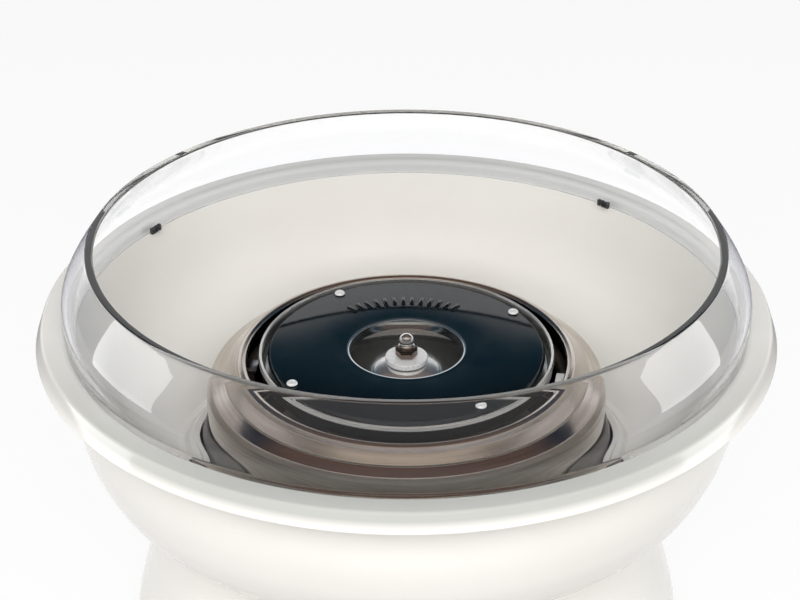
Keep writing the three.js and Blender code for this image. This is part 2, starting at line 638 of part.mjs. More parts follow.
// Two arc magnets inside the can
const coreLow = BRUSH_Z + BRUSH_H + CORE_RISE;
const coreHigh = canCeiling - CORE_DROP;
const MAGNET_HALF = radians(62);
for (const [i, turn] of [0, 180].entries()) {
  const arc = new THREE.Shape();
  arc.absarc(0, 0, MAGNET_OUT_R, -MAGNET_HALF, MAGNET_HALF, false);
  arc.absarc(0, 0, MAGNET_IN_R, MAGNET_HALF, -MAGNET_HALF, true);
  const magnet = extruded(arc, coreLow - 1, coreHigh + 1, 10);
  piece('base', `magnet_${i + 1}`, aroundZ(magnet, turn), 'iron');
}

// Motor shaft, threaded at the top for the head's nut
const shoulderZ = PAN_Z - SEAT;
const panFloorTop = PAN_Z + PAN_T;
const washerZ = HEAD_Z - WASHER_DROP;
const nutZ = washerZ + WASHER_T;
const shaftTop = nutZ + NUT_H + 0.2;
const pinZ = shoulderZ - DRIVE_BOSS_H + PIN_R + SEAT;
const shaftBody = turned([
  [0, SHAFT_END_Z], [SHAFT_R, SHAFT_END_Z], [SHAFT_R, shoulderZ], [THREAD_R, shoulderZ],
  [THREAD_R, shaftTop - 0.6], [THREAD_R - 0.6, shaftTop], [0, shaftTop],
], SMALL);
const pinHole = at(alongX(rod(PIN_R + SEAT, -PIN_L, PIN_L, 12)), 0, 0, pinZ);
piece('head', 'motor_shaft', cut(shaftBody, pinHole), 'steel');
piece('head', 'drive_pin', at(alongX(rod(PIN_R, -PIN_L / 2, PIN_L / 2, 12)), 0, 0, pinZ), 'bright');

// Rotor: slotted core, end windings and commutator
const coreShape = new THREE.Shape();
for (let i = 0; i < CORE_SLOTS; i += 1) {
  const middle = (2 * Math.PI * i) / CORE_SLOTS;
  const half = Math.PI / CORE_SLOTS;
  const wide = half - 0.09;
  const narrow = half * TOOTH;
  const neck = CORE_R * 0.82;
  const root = CORE_R * 0.42;
  const point = (r, a) => [r * Math.cos(middle + a), r * Math.sin(middle + a)];
  if (i === 0) coreShape.moveTo(...point(root, -narrow));
  else coreShape.lineTo(...point(root, -narrow));
  coreShape.lineTo(...point(neck, -narrow * 0.5));
  coreShape.lineTo(...point(neck, -wide));
  coreShape.absarc(0, 0, CORE_R, middle - wide, middle + wide, false);
  coreShape.lineTo(...point(neck, wide));
  coreShape.lineTo(...point(neck, narrow * 0.5));
  coreShape.lineTo(...point(root, narrow));
}
const bore = new THREE.Path();
bore.absarc(0, 0, shaftHole, 0, 2 * Math.PI, true);
coreShape.holes.push(bore);
piece('head', 'rotor_core', extruded(coreShape, coreLow, coreHigh, 8), 'iron');
const windingOut = CORE_R - 2;
function winding(low, high) {
  const round = 1;
  return turned([
    [COMMUTATOR_R, low + round], [COMMUTATOR_R + round, low], [windingOut - round, low],
    [windingOut, low + round], [windingOut, high - round], [windingOut - round, high],
    [COMMUTATOR_R + round, high], [COMMUTATOR_R, high - round],
  ], SMALL);
}
const windingH = WINDING_H + SEAT;
piece('head', 'winding_top', winding(coreHigh + SEAT, coreHigh + windingH), 'copper');
piece('head', 'winding_bottom', winding(coreLow - windingH, coreLow - SEAT), 'copper');
const commutator = ring(shaftHole, COMMUTATOR_R, BRUSH_Z - 1.5, coreLow - windingH - SEAT, SMALL);
piece('head', 'commutator', commutator, 'copper');

// Cooling fan at the shaft's lower end
const fanLow = SHAFT_END_Z + 0.5;
const fanHigh = bushLow - 1;
const bladeHalf = (fanHigh - fanLow) / 2 - 0.6;
const fanBlade = block([SHAFT_R + 2, FAN_R], [-BLADE_T / 2, BLADE_T / 2], [-bladeHalf, bladeHalf])
  .rotateX(radians(BLADE_PITCH));
const fanBlades = [];
for (let i = 0; i < FAN_BLADES; i += 1) {
  fanBlades.push(aroundZ(at(fanBlade, 0, 0, (fanLow + fanHigh) / 2), (360 * i) / FAN_BLADES));
}
const fanHub = ring(shaftHole, SHAFT_R + 4, fanLow, fanHigh, SMALL);
piece('head', 'cooling_fan', join(fanHub, ...fanBlades), 'plastic');

// Pan of the spinning head: floor, wall, ledge for the rivets, rolled rim and the drive boss
const ledgeEdge = HEAD_R - 2.2;
const panFace = [
  [THREAD_R + SEAT, panFloorTop], [PAN_FLOOR_R, panFloorTop], [LEDGE_R - 1, LEDGE_Z - 1],
  [LEDGE_R, LEDGE_Z], [ledgeEdge, LEDGE_Z], [ledgeEdge + 1, LEDGE_Z + 1.6],
  [ledgeEdge + 1, HEAD_Z - 1.2], [ledgeEdge + 1.5, HEAD_Z],
];
const panSheet = sheet(panFace, PAN_T);
panSheet.splice(panFace.length, 1, [HEAD_R, HEAD_Z], [HEAD_R, HEAD_Z - 1.3]);
const panBoss = ring(shaftHole, DRIVE_BOSS_R, shoulderZ - DRIVE_BOSS_H, PAN_Z + PAN_T / 2, SMALL);
const pinSlot = block([-PIN_L, PIN_L], [-PIN_R - SEAT, PIN_R + SEAT],
  [shoulderZ - DRIVE_BOSS_H - 1, pinZ + PIN_R + SEAT]);
const rivetHole = at(rod(RIVET_SHANK_R + SEAT, LEDGE_Z - 5, HEAD_Z + 5, HOLE), RIVET_RING, 0);
const rivetHoles = RIVET_ANGLES.map((a) => aroundZ(rivetHole, a));
piece('head', 'head_pan', cut(
  join(turned(panSheet, LARGE), panBoss),
  pinSlot,
  ...rivetHoles,
), 'aluminium');

// Slotted band that the melted sugar leaves through
const bandLow = LEDGE_Z + SEAT;
const bandHigh = DISC_Z - DISC_T - SEAT;
const bandIn = LEDGE_R + 0.2;
const bandOut = bandIn + BAND_T;
const bandSlots = [];
for (let i = 0; i < BAND_SLOTS; i += 1) {
  const slot = block([bandIn - 2, bandOut + 2], [-SLOT_W / 2, SLOT_W / 2], [bandLow + 1, bandHigh - 1]);
  bandSlots.push(aroundZ(slot, (360 * i) / BAND_SLOTS));
}
const band = ring(bandIn, bandOut, bandLow, bandHigh, MEDIUM);
piece('head', 'perforated_band', cut(band, ...bandSlots), 'aluminium');

// Cover disc with its turned-down centre lip
const discFace = [
  [DISC_HOLE_R - 0.9, DISC_Z - LIP_H], [DISC_HOLE_R - 0.9, DISC_Z - 1.2], [DISC_HOLE_R, DISC_Z],
  [DISC_R - 0.9, DISC_Z], [DISC_R, DISC_Z - 1.6],
];
piece('head', 'cover_disc', cut(turned(sheet(discFace, DISC_T), LARGE), ...rivetHoles), 'black');

// Rivets through the disc and the pan's ledge
RIVET_ANGLES.forEach((angle, i) => {
  const [low, high] = [LEDGE_Z - PAN_T - SEAT, DISC_Z + SEAT];
  const rivet = turned([
    [0, low - 1], [RIVET_R, low - 0.8], [RIVET_R, low], [RIVET_SHANK_R, low],
    [RIVET_SHANK_R, high], [RIVET_R, high],
    [RIVET_R, high + 0.4], [RIVET_R * 0.7, high + 1], [0, high + 1.2],
  ], 10);
  piece('head', `rivet_${i + 1}`, aroundZ(at(rivet, RIVET_RING, 0), angle), 'bright');
});

// Cone that throws the sugar outwards, washer and nut that clamp it
const coneTop = washerZ - SEAT;
const coneLow = panFloorTop + SEAT;
const coneH = coneTop - coneLow;
const coneTopR = WASHER_R + CONE_LIP;
function onCone(outwards, up) {
  return [coneTopR + outwards * (CONE_R - coneTopR), coneLow + up * coneH];
}
piece('head', 'cone_hub', turned([
  [THREAD_R + SEAT, coneLow], [CONE_R, coneLow], onCone(1, 0.05), onCone(0.86, 0.25),
  onCone(0.72, 0.52), onCone(0.55, 0.76), onCone(0.36, 0.9), onCone(0.18, 0.96), [coneTopR - 0.3, coneTop],
  [THREAD_R + SEAT, coneTop],
], MEDIUM), 'aluminium');
piece('head', 'washer', ring(THREAD_R + SEAT, WASHER_R, washerZ, nutZ - SEAT, MOTOR), 'bright');
const hexR = NUT_FLATS / Math.sqrt(3);
const nutHex = turned([[0, nutZ], [hexR, nutZ], [hexR, nutZ + NUT_H], [0, nutZ + NUT_H]], 6);
const neckZ = nutZ + NUT_H;
const domeZ = neckZ + NUT_DOME_RISE;
const nutDome = turned([
  [0, neckZ - 0.5], [hexR * 0.84, neckZ - 0.5], [hexR * 0.84, neckZ + 0.4], [NUT_DOME_R - 0.1, neckZ + 1.1],
  ...[-25, 0, 22, 45, 68].map((a) => [
    NUT_DOME_R * Math.cos(radians(a)), domeZ + NUT_DOME_R * Math.sin(radians(a)),
  ]),
  [0, domeZ + NUT_DOME_R],
], SMALL);
const nutBore = rod(THREAD_R + SEAT, nutZ - 1, shaftTop + SEAT, SMALL);
piece('head', 'acorn_nut', cut(join(nutHex, nutDome), nutBore), 'bright');

// Bowl: upstand round the seal, floor that rests on the deck, deep wall and turned-down rim
const holeR = SEAL_R + UPSTAND_GAP;
const floorZ = DECK_Z + SEAT + BOWL_T;
const floorEdge = DECK_R - 3;
function onWall(inwards, down) {
  return [BOWL_R - inwards * (BOWL_R - floorEdge), RIM_Z - down * (RIM_Z - floorZ)];
}
const ledgeZ = RIM_Z - FOOT_DROP - SEAT;
const bowlWall = [
  [holeR + BOWL_T, floorZ + UPSTAND_H], [holeR + BOWL_T + 0.4, floorZ + UPSTAND_H * 0.6],
  [COLLAR_FLANGE_R + 1, floorZ + 3.7], [COLLAR_FLANGE_R + 4.3, floorZ], [floorEdge, floorZ],
  onWall(0.79, 0.94), onWall(0.54, 0.87), onWall(0.32, 0.767), onWall(0.194, 0.657),
  onWall(0.118, 0.55), onWall(0.056, 0.386),
  [LIP_R - FOOT_LEDGE_W, ledgeZ], [LIP_R, ledgeZ],
];
const bowlEdge = [[RIM_R - 0.8, RIM_Z], [RIM_R + 0.7, RIM_Z - 1], [RIM_R + SKIRT_FLARE, RIM_Z - SKIRT_H]];
const bowlRoll = [0, 30, 60, 90].map((a) => [
  LIP_R + RIM_ROLL * (1 - Math.cos(radians(a))), RIM_Z - RIM_ROLL * (1 - Math.sin(radians(a))),
]);
const bowlSharp = [...bowlWall, [LIP_R, RIM_Z], ...bowlEdge];
const bowlBack = sheet(bowlSharp, BOWL_T).slice(bowlSharp.length);
piece('bowl', 'bowl', turned([...bowlWall, ...bowlRoll, ...bowlEdge, ...bowlBack], LARGE), 'cream');

// Splash guard: bulged clear wall whose straight foot stands on the ledge inside the bowl's rim
const footZ = ledgeZ + SEAT;
const guardTop = RIM_Z + GUARD_H;
const wallZ = footZ + FOOT_RISE;
const wallH = guardTop - wallZ;
const bulge = new THREE.CubicBezierCurve(
  new THREE.Vector2(GUARD_FOOT_R, wallZ),
  new THREE.Vector2(GUARD_FOOT_R + GUARD_BULGE, wallZ + wallH * 0.35),
  new THREE.Vector2(GUARD_FOOT_R + GUARD_BULGE * 0.16, wallZ + wallH * 0.54),
  new THREE.Vector2(GUARD_MOUTH_R, guardTop),
);
const guardWall = [[GUARD_FOOT_R, footZ], ...bulge.getPoints(8).map((p) => [p.x, p.y])];
const guardShell = sheet(guardWall, -GUARD_T);
const lipInner = guardWall.length;
const [[innerR, innerZ], [belowR, belowZ]] = guardShell.slice(lipInner);
const lipLift = (guardTop - innerZ) / (innerZ - belowZ);
guardShell[lipInner] = [innerR + (innerR - belowR) * lipLift, guardTop];   // the lip is cut level
piece('guard', 'splash_guard', turned(guardShell, LARGE), 'clear');

// Spring clips on the foot's inner face
CLIP_ANGLES.forEach((angle, i) => {
  const face = GUARD_FOOT_R - GUARD_T - SEAT;
  const low = footZ + SEAT;
  const high = low + CLIP_H;
  const clip = join(
    block([face - 1.2, face - 0.3], [-CLIP_W / 2, CLIP_W / 2], [low, high]),
    block([face - 2, face - 1], [-CLIP_W / 2 + 0.8, CLIP_W / 2 - 0.8], [low + 0.8, high - 0.8]),
  );
  piece('guard', `guard_clip_${i + 1}`, aroundZ(clip, angle), 'iron');
});

// Switch housing in the front panel
const PIVOT_Y = PANEL_Y - 2.5;
const [bodyW, bodyH] = [SWITCH_W / 2 - SEAT, SWITCH_H / 2 - SEAT];
const [cellW, cellH] = [bodyW - SWITCH_WALL, bodyH - SWITCH_WALL];
const bezel = join(
  block([-bodyW, bodyW], [-PANEL_Y - 1, -PANEL_Y + SWITCH_DEPTH], [PANEL_Z - bodyH, PANEL_Z + bodyH]),
  block([-bodyW - BEZEL_W, bodyW + BEZEL_W], [-PANEL_Y - SEAT - BEZEL_T, -PANEL_Y - SEAT],
    [PANEL_Z - bodyH - BEZEL_W, PANEL_Z + bodyH + BEZEL_W]),
);
const cell = block([-cellW, cellW], [-PANEL_Y - 5, -PANEL_Y + 8], [PANEL_Z - cellH, PANEL_Z + cellH]);
const trunnionHole = at(alongX(rod(TRUNNION_R + SEAT, -bodyW - 1, bodyW + 1, 12)), 0, -PIVOT_Y, PANEL_Z);
piece('base', 'switch_housing', cut(bezel, cell, trunnionHole), 'plastic');

// Rocker, at rest in its off position
const rockW = cellW - SEAT;
const rockH = cellH - 1.3;
const side = new THREE.Shape();
side.moveTo(-rockH, rockH * 0.8);
side.lineTo(0, rockH * 0.49);
side.lineTo(rockH, rockH * 0.8);
side.lineTo(rockH * 0.94, -rockH * 0.21);
side.lineTo(rockH * 0.43, -rockH * 0.63);
side.lineTo(-rockH * 0.43, -rockH * 0.63);
side.lineTo(-rockH * 0.94, -rockH * 0.21);
const rockerBody = extruded(side, -rockW, rockW);
const trunnion = rod(TRUNNION_R, -bodyW + SEAT, bodyW - SEAT, 12);
const rockerShape = join(rockerBody, trunnion).rotateY(Math.PI / 2).rotateX(Math.PI);
rockerShape.rotateX(radians(ROCKER_TILT));
piece('rocker', 'rocker', at(rockerShape, 0, -PIVOT_Y, PANEL_Z), 'plastic');

// Cord bush in the back panel, left without its cord
const bushNeck = CORD_HOLE_R - SEAT;
piece('base', 'cord_bush', at(alongY(turned([
  [CORD_BORE_R, PANEL_Y - 9], [bushNeck - 0.6, PANEL_Y - 9], [bushNeck, PANEL_Y - 8],
  [bushNeck, PANEL_Y + SEAT], [CORD_HOLE_R + 3, PANEL_Y + SEAT], [CORD_HOLE_R + 3, PANEL_Y + 2],
  [CORD_HOLE_R + 1.5, PANEL_Y + 3], [CORD_BORE_R, PANEL_Y + 3],
], SMALL)), 0, 0, PANEL_Z), 'rubber');

// Leads from the switch to the element's terminals and to the motor
const switchBack = -PANEL_Y + SWITCH_DEPTH + SEAT;
function lead(points) {
  const route = new THREE.CatmullRomCurve3(points.map((p) => new THREE.Vector3(...p)), false, 'centripetal');
  return tube(route, LEAD_R, 20, 6);
}
const heaterRoute = [
  [LEAD_SPREAD, switchBack, PANEL_Z + LEAD_SPREAD],
  [LEAD_SPREAD, switchBack + LEAD_RUN, PANEL_Z + LEAD_SPREAD],
];
[-70, -34, 6].forEach((angle, i) => {
  const [x, y] = [Math.cos(radians(angle)), Math.sin(radians(angle))].map((v) => v * LEAD_RING_R);
  heaterRoute.push([x, y, PANEL_Z + LEAD_SPREAD + (2 * i + 1) * LEAD_RISE]);
});
const terminal = onRing(GAP_ANGLE, 0);
heaterRoute.push(
  [terminal.x + LEAD_RUN, terminal.y - LEAD_RUN, PANEL_Z + LEAD_SPREAD + 5 * LEAD_RISE],
  [terminal.x, terminal.y, underDeck - LEAD_RUN],
  [terminal.x, terminal.y, DECK_Z],
);
piece('base', 'heater_lead', lead(heaterRoute), 'lead');
const capMiddle = capTop - CAP_T / 2;
const motorSide = CAN_R / 2;
piece('base', 'motor_lead', lead([
  [-LEAD_SPREAD, switchBack, PANEL_Z - LEAD_SPREAD],
  [-LEAD_SPREAD, switchBack + LEAD_RUN, PANEL_Z - LEAD_SPREAD],
  [-motorSide, (switchBack - CAN_R) / 2, (PANEL_Z + capMiddle) / 2],
  [-motorSide, -CAN_R - 2 * LEAD_RUN, capMiddle],
  [-motorSide, -CAN_R, capMiddle],
]), 'lead');

export default group;
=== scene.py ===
"""Looks of a motor-driven cotton candy machine, built round its packed construction.

Lengths are in millimetres until a mesh is made, and Blender's own units are metres."""

import json
import math

import bmesh
import bpy
from mathutils import Matrix, Vector


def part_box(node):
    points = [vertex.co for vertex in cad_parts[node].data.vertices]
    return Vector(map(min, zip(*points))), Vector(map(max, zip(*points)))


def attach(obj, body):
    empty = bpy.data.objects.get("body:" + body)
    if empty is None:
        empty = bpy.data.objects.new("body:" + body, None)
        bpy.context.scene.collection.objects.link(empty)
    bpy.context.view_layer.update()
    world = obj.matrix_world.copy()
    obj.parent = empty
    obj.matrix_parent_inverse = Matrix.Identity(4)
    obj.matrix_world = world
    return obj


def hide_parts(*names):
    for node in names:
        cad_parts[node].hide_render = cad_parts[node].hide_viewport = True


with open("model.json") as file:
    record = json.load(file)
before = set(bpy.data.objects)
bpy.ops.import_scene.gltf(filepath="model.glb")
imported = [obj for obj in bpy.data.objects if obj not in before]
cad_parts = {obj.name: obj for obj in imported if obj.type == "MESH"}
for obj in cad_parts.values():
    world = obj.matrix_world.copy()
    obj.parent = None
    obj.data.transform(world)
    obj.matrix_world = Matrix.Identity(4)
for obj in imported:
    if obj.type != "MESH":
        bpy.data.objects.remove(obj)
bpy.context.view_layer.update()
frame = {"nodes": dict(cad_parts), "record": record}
scene = bpy.context.scene
nodes = frame["nodes"]

MM = 0.001

# Places and sizes that the construction sets
def low(node):
    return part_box(node)[0].z / MM


def high(node):
    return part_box(node)[1].z / MM


def outer(node):
    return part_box(node)[1].x / MM


def middle(node):
    lowest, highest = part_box(node)
    return (lowest + highest) / (2 * MM)


TABLE_Z = 0.0
RIM_Z = high("bowl")
DECK_Z = high("base_shell")
DECK_R = 105.0
BASE_R = outer("base_plate") + 3.8
HEAD_Z = high("head_pan")
HEAD_R = outer("head_pan")
COLLAR_Z = high("heat_collar")
FLANGE_R = outer("heat_collar")
SEAT = 0.3
BOWL_R = 136.0
BOWL_T = 2.5
RIM_W = 10.3
GUARD_TOP = high("splash_guard")
LIP_R = BOWL_R + 0.7
LEDGE_Z = low("splash_guard") - SEAT
LEDGE_W = 1.8
RIM_ROLL = 2.7
GUARD_T = 2.8
GUARD_BULGE = 3.8
COLLAR_GAP = 5.4
SHOULDER_W = 16.9
COLLAR_T = 1.0
PAN_DEPTH = 22.2
PAN_T = 1.2
PAN_LEDGE = 7.2
HOLE_R = 24.5
SHELL_T = 2.8
BORE_R = 2.8
NUT_FLATS = 8.0
NUT_BALL_R = 3.15
ELEMENT_R = 2.8

# Flat sides of the turned pieces
FINE = 192
MEDIUM = 96
SMALL = 40


# Outlines

def rounded(corners, steps=5, ends=False):
    """Points through corners (r, z, fillet), with an arc at each corner that has a fillet."""
    points = []
    count = len(corners)
    for i, (r, z, fillet) in enumerate(corners):
        here = Vector((r, z))
        at_end = i in (0, count - 1) and not ends
        if fillet == 0 or at_end:
            points.append(here)
            continue
        before = Vector(corners[i - 1][:2]) - here
        after = Vector(corners[(i + 1) % count][:2]) - here
        half = before.angle(after) / 2
        reach = min(fillet / math.tan(half), 0.49 * min(before.length, after.length))
        radius = reach * math.tan(half)
        centre = here + (before.normalized() + after.normalized()).normalized() * radius / math.sin(half)
        start = here + before.normalized() * reach - centre
        stop = here + after.normalized() * reach - centre
        first = math.atan2(start.y, start.x)
        sweep = math.atan2(stop.y, stop.x) - first
        sweep = (sweep + math.pi) % (2 * math.pi) - math.pi
        for k in range(steps + 1):
            angle = first + sweep * k / steps
            points.append(centre + radius * Vector((math.cos(angle), math.sin(angle))))
    return points


def smooth(corners, steps=6):
    """Points on a smooth curve through the corners given."""
    corners = [Vector(c[:2]) for c in corners]
    padded = [2 * corners[0] - corners[1], *corners, 2 * corners[-1] - corners[-2]]
    points = [corners[0]]
    for a, b, c, d in zip(padded, padded[1:], padded[2:], padded[3:]):
        for k in range(1, steps + 1):
            t = k / steps
            points.append(0.5 * (2 * b + (c - a) * t + (2 * a - 5 * b + 4 * c - d) * t ** 2
                                 + (3 * b - a - 3 * c + d) * t ** 3))
    return points


def sheet(face, thickness):
    """Closed outline of a sheet: one face is given, the other lies to the right of its travel."""
    face = [p for i, p in enumerate(face) if i == 0 or (p - face[i - 1]).length > 1e-4]
    normals = []
    for a, b in zip(face, face[1:]):
        along = (b - a).normalized()
        normals.append(Vector((along.y, -along.x)))
    other = []
    for i, point in enumerate(face):
        before = normals[max(i - 1, 0)]
        after = normals[min(i, len(normals) - 1)]
        mitre = (before + after).normalized()
        other.append(point + mitre * thickness / max(mitre.dot(after), 0.5))
    return [*face, *reversed(other)]


# Meshes

def turn(outline, sides=FINE, mesh=None):
    """A closed outline turned about Z. One that starts and ends on the axis stays open there."""
    made = mesh or bmesh.new()
    verts = [made.verts.new((p[0] * MM, 0, p[1] * MM)) for p in outline]
    edges = [made.edges.new(pair) for pair in zip(verts, verts[1:])]
    if outline[0][0] > 1e-6 or outline[-1][0] > 1e-6:
        edges.append(made.edges.new((verts[-1], verts[0])))
    bmesh.ops.spin(made, geom=[*verts, *edges], cent=(0, 0, 0), axis=(0, 0, 1), dvec=(0, 0, 0),
                   angle=2 * math.pi, steps=sides, use_merge=True, use_duplicate=False)
    bmesh.ops.remove_doubles(made, verts=made.verts, dist=1e-6)
    bmesh.ops.recalc_face_normals(made, faces=made.faces)
    return made


def cuboid(size, centre, bevel=0.0, mesh=None, segments=3):
    """A box with rounded edges."""
    part = bmesh.new()
    bmesh.ops.create_cube(part, size=1)
    bmesh.ops.scale(part, vec=Vector(size) * MM, verts=part.verts)
    if bevel:
        bmesh.ops.bevel(part, geom=part.edges[:], offset=bevel * MM, segments=segments, profile=0.5,
                        affect="EDGES", material=-1)
    bmesh.ops.translate(part, vec=Vector(centre) * MM, verts=part.verts)
    return add_to(mesh, part)


def add_to(mesh, part):
    """Puts part into mesh, or returns part where there is no mesh yet."""
    if mesh is None:
        return part
    holder = bpy.data.meshes.new("holder")
    part.to_mesh(holder)
    part.free()
    mesh.from_mesh(holder)
    bpy.data.meshes.remove(holder)
    return mesh


def placed(part, turn_by=0.0, shift=(0, 0, 0)):
    """part moved by shift, then turned about Z by an angle in degrees."""
    bmesh.ops.translate(part, vec=Vector(shift) * MM, verts=part.verts)
    spin = Matrix.Rotation(math.radians(turn_by), 3, "Z")
    bmesh.ops.rotate(part, cent=(0, 0, 0), matrix=spin, verts=part.verts)
    return part


def piece(name, mesh, slot, body, stands_for=(), sharp=32):
    """A finished piece that rides on a body and stands for nodes of the construction."""
    data = bpy.data.meshes.new(name)
    mesh.to_mesh(data)
    mesh.free()
    data.shade_smooth()
    data.set_sharp_from_angle(angle=math.radians(sharp))
    made = bpy.data.objects.new(name, data)
    scene.collection.objects.link(made)
    data.materials.append(finish(slot))
    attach(made, body)
    if stands_for:
        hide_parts(*stands_for)
    return made


def refined(node, slot, body, bevel=0.25, name=None):
    """A node's own shape with its flat faces joined and its sharp edges rounded."""
    mesh = bmesh.new()
    mesh.from_mesh(nodes[node].data)
    bmesh.ops.remove_doubles(mesh, verts=mesh.verts, dist=1e-6)
    bmesh.ops.dissolve_limit(mesh, angle_limit=math.radians(1), verts=mesh.verts, edges=mesh.edges)
    sharp = [e for e in mesh.edges if len(e.link_faces) == 2 and e.calc_face_angle() > math.radians(35)]
    if bevel:
        bmesh.ops.bevel(mesh, geom=sharp, offset=bevel * MM, segments=2, profile=0.5, affect="EDGES",
                        material=-1, clamp_overlap=True)
    return piece(name or f"{node}_fine", mesh, slot, body, [node])


# Shader groups

def group(name, inputs, outputs):
    """A node group with float inputs {name: value} and outputs {name: socket type}."""
    made = bpy.data.node_groups.new(name, "ShaderNodeTree")
    for label, value in inputs.items():
        socket = made.interface.new_socket(name=label, in_out="INPUT", socket_type="NodeSocketFloat")
        socket.default_value = value
    for label, kind in outputs.items():
        made.interface.new_socket(name=label, in_out="OUTPUT", socket_type=kind)
    return made, made.nodes.new("NodeGroupInput"), made.nodes.new("NodeGroupOutput")


class Tree:
    """Short calls for making and joining nodes."""

    def __init__(self, tree):
        self.tree = tree

    def node(self, kind, **settings):
        made = self.tree.nodes.new(kind)
        for key, value in settings.items():
            setattr(made, key, value)
        return made

    def join(self, source, target):
        self.tree.links.new(source, target)

    def put(self, value, socket):
        if isinstance(value, bpy.types.NodeSocket):
            self.join(value, socket)
        else:
            socket.default_value = value

    def math(self, operation, a, b=0.0, clamp=False):
        made = self.node("ShaderNodeMath", operation=operation, use_clamp=clamp)
        self.put(a, made.inputs[0])
        self.put(b, made.inputs[1])
        return made.outputs[0]

    def span(self, value, from_low, from_high, to_low=0.0, to_high=1.0):
        made = self.node("ShaderNodeMapRange", clamp=True)
        for socket, number in zip(made.inputs, (value, from_low, from_high, to_low, to_high)):
            self.put(number, socket)
        return made.outputs[0]

    def noise(self, vector, scale, detail=2.0, roughness=0.5):
        made = self.node("ShaderNodeTexNoise")
        self.join(vector, made.inputs["Vector"])
        self.put(scale, made.inputs["Scale"])
        self.put(detail, made.inputs["Detail"])
        self.put(roughness, made.inputs["Roughness"])
        return made.outputs["Fac"]

    def blend(self, share, a, b):
        made = self.node("ShaderNodeMix", data_type="RGBA")
        self.put(share, made.inputs["Factor"])
        colours = [s for s in made.inputs if s.type == "RGBA"]
        self.put(a, colours[0])
        self.put(b, colours[1])
        return [s for s in made.outputs if s.type == "RGBA"][0]

    def place(self):
        return self.node("ShaderNodeTexCoord").outputs["Object"]

    def axes(self):
        """X, Y and Z of the place on the piece, in metres."""
        parts = self.node("ShaderNodeSeparateXYZ")
        self.join(self.place(), parts.inputs[0])
        return parts.outputs

    def radius(self):
        """Distance from the machine's upright axis, in metres."""
        x, y, _ = self.axes()
        return self.math("SQRT", self.math("ADD", self.math("MULTIPLY", x, x), self.math("MULTIPLY", y, y)))


def make_mottle():
    """Soft cloudy variation, with finer speckle on top. Scale is in cycles a metre."""
    made, enter, leave = group("mottle", {"Scale": 30.0, "Speckle": 0.3}, {"Value": "NodeSocketFloat"})
    t = Tree(made)
    place = t.place()
    broad = t.noise(place, enter.outputs["Scale"], 3.0)
    fine = t.noise(place, t.math("MULTIPLY", enter.outputs["Scale"], 14.0), 2.0)
    mixed = t.math("ADD", t.math("MULTIPLY", t.math("SUBTRACT", fine, 0.5), enter.outputs["Speckle"]), broad)
    t.join(t.span(mixed, 0.3, 0.7), leave.inputs["Value"])
    return made


def make_turning():
    """Marks left by turning or spinning a sheet: fine rings about Z, broken up along their length."""
    made, enter, leave = group("turning", {"Pitch": 1500.0, "Broken": 0.5},
                               {"Height": "NodeSocketFloat", "Streak": "NodeSocketFloat"})
    t = Tree(made)
    x, y, z = t.axes()
    angle = t.math("ARCTAN2", y, x)
    along = t.node("ShaderNodeCombineXYZ")
    across = t.math("ADD", t.radius(), t.math("MULTIPLY", z, 0.7))
    t.join(t.math("MULTIPLY", across, enter.outputs["Pitch"]), along.inputs[0])
    t.join(t.math("MULTIPLY", t.math("SINE", angle), enter.outputs["Broken"]), along.inputs[1])
    t.join(t.math("MULTIPLY", t.math("COSINE", angle), enter.outputs["Broken"]), along.inputs[2])
    rings = t.noise(along.outputs[0], 1.0, 3.0, 0.6)
    t.join(rings, leave.inputs["Height"])
    t.join(t.span(rings, 0.35, 0.65), leave.inputs["Streak"])
    return made


def make_dust():
    """Sparse pale specks of dust."""
    made, enter, leave = group("dust", {"Scale": 900.0, "Amount": 0.5}, {"Mask": "NodeSocketFloat"})
    t = Tree(made)
    cells = t.node("ShaderNodeTexVoronoi")
    t.join(t.place(), cells.inputs["Vector"])
    t.join(enter.outputs["Scale"], cells.inputs["Scale"])
    near = t.span(cells.outputs["Distance"], 0.10, 0.16, 1.0, 0.0)
    picks = t.node("ShaderNodeSeparateXYZ")
    t.join(cells.outputs["Color"], picks.inputs[0])
    few = t.math("GREATER_THAN", picks.outputs[0], 0.93)
    t.join(t.math("MULTIPLY", t.math("MULTIPLY", near, few), enter.outputs["Amount"]), leave.inputs["Mask"])
    return made


GROUPS = {"mottle": make_mottle(), "turning": make_turning(), "dust": make_dust()}


# Finishes

class Finish(Tree):
    """One material, with its shader and short calls for the shared groups."""

    def __init__(self, name, colour, roughness, metallic=0.0, **sockets):
        self.material = bpy.data.materials.new(name)
        self.material.use_nodes = True
        super().__init__(self.material.node_tree)
        self.shader = self.tree.nodes["Principled BSDF"]
        self.output = self.tree.nodes["Material Output"]
        self.set("Base Color", (*colour, 1.0))
        self.set("Roughness", roughness)
        self.set("Metallic", metallic)
        for label, value in sockets.items():
            self.set(label.replace("_", " ").title().replace("Ior", "IOR"), value)

    def set(self, label, value):
        self.put(value, self.shader.inputs[label])

    def shared(self, name, output, **values):
        made = self.node("ShaderNodeGroup", node_tree=GROUPS[name])
        for label, value in values.items():
            made.inputs[label].default_value = value
        return made.outputs[output]

    def vary(self, dark, light, scale, speckle=0.3):
        """Base colour that drifts between two shades."""
        self.set("Base Color", self.blend(self.shared("mottle", "Value", Scale=scale, Speckle=speckle),
                                          (*dark, 1.0), (*light, 1.0)))

    def roughen(self, least, most, scale, speckle=0.5):
        value = self.shared("mottle", "Value", Scale=scale, Speckle=speckle)
        self.set("Roughness", self.span(value, 0.0, 1.0, least, most))

    def bump(self, height, distance, strength=1.0):
        made = self.node("ShaderNodeBump")
        made.inputs["Strength"].default_value = strength
        made.inputs["Distance"].default_value = distance * MM
        self.join(height, made.inputs["Height"])
        self.set("Normal", made.outputs[0])


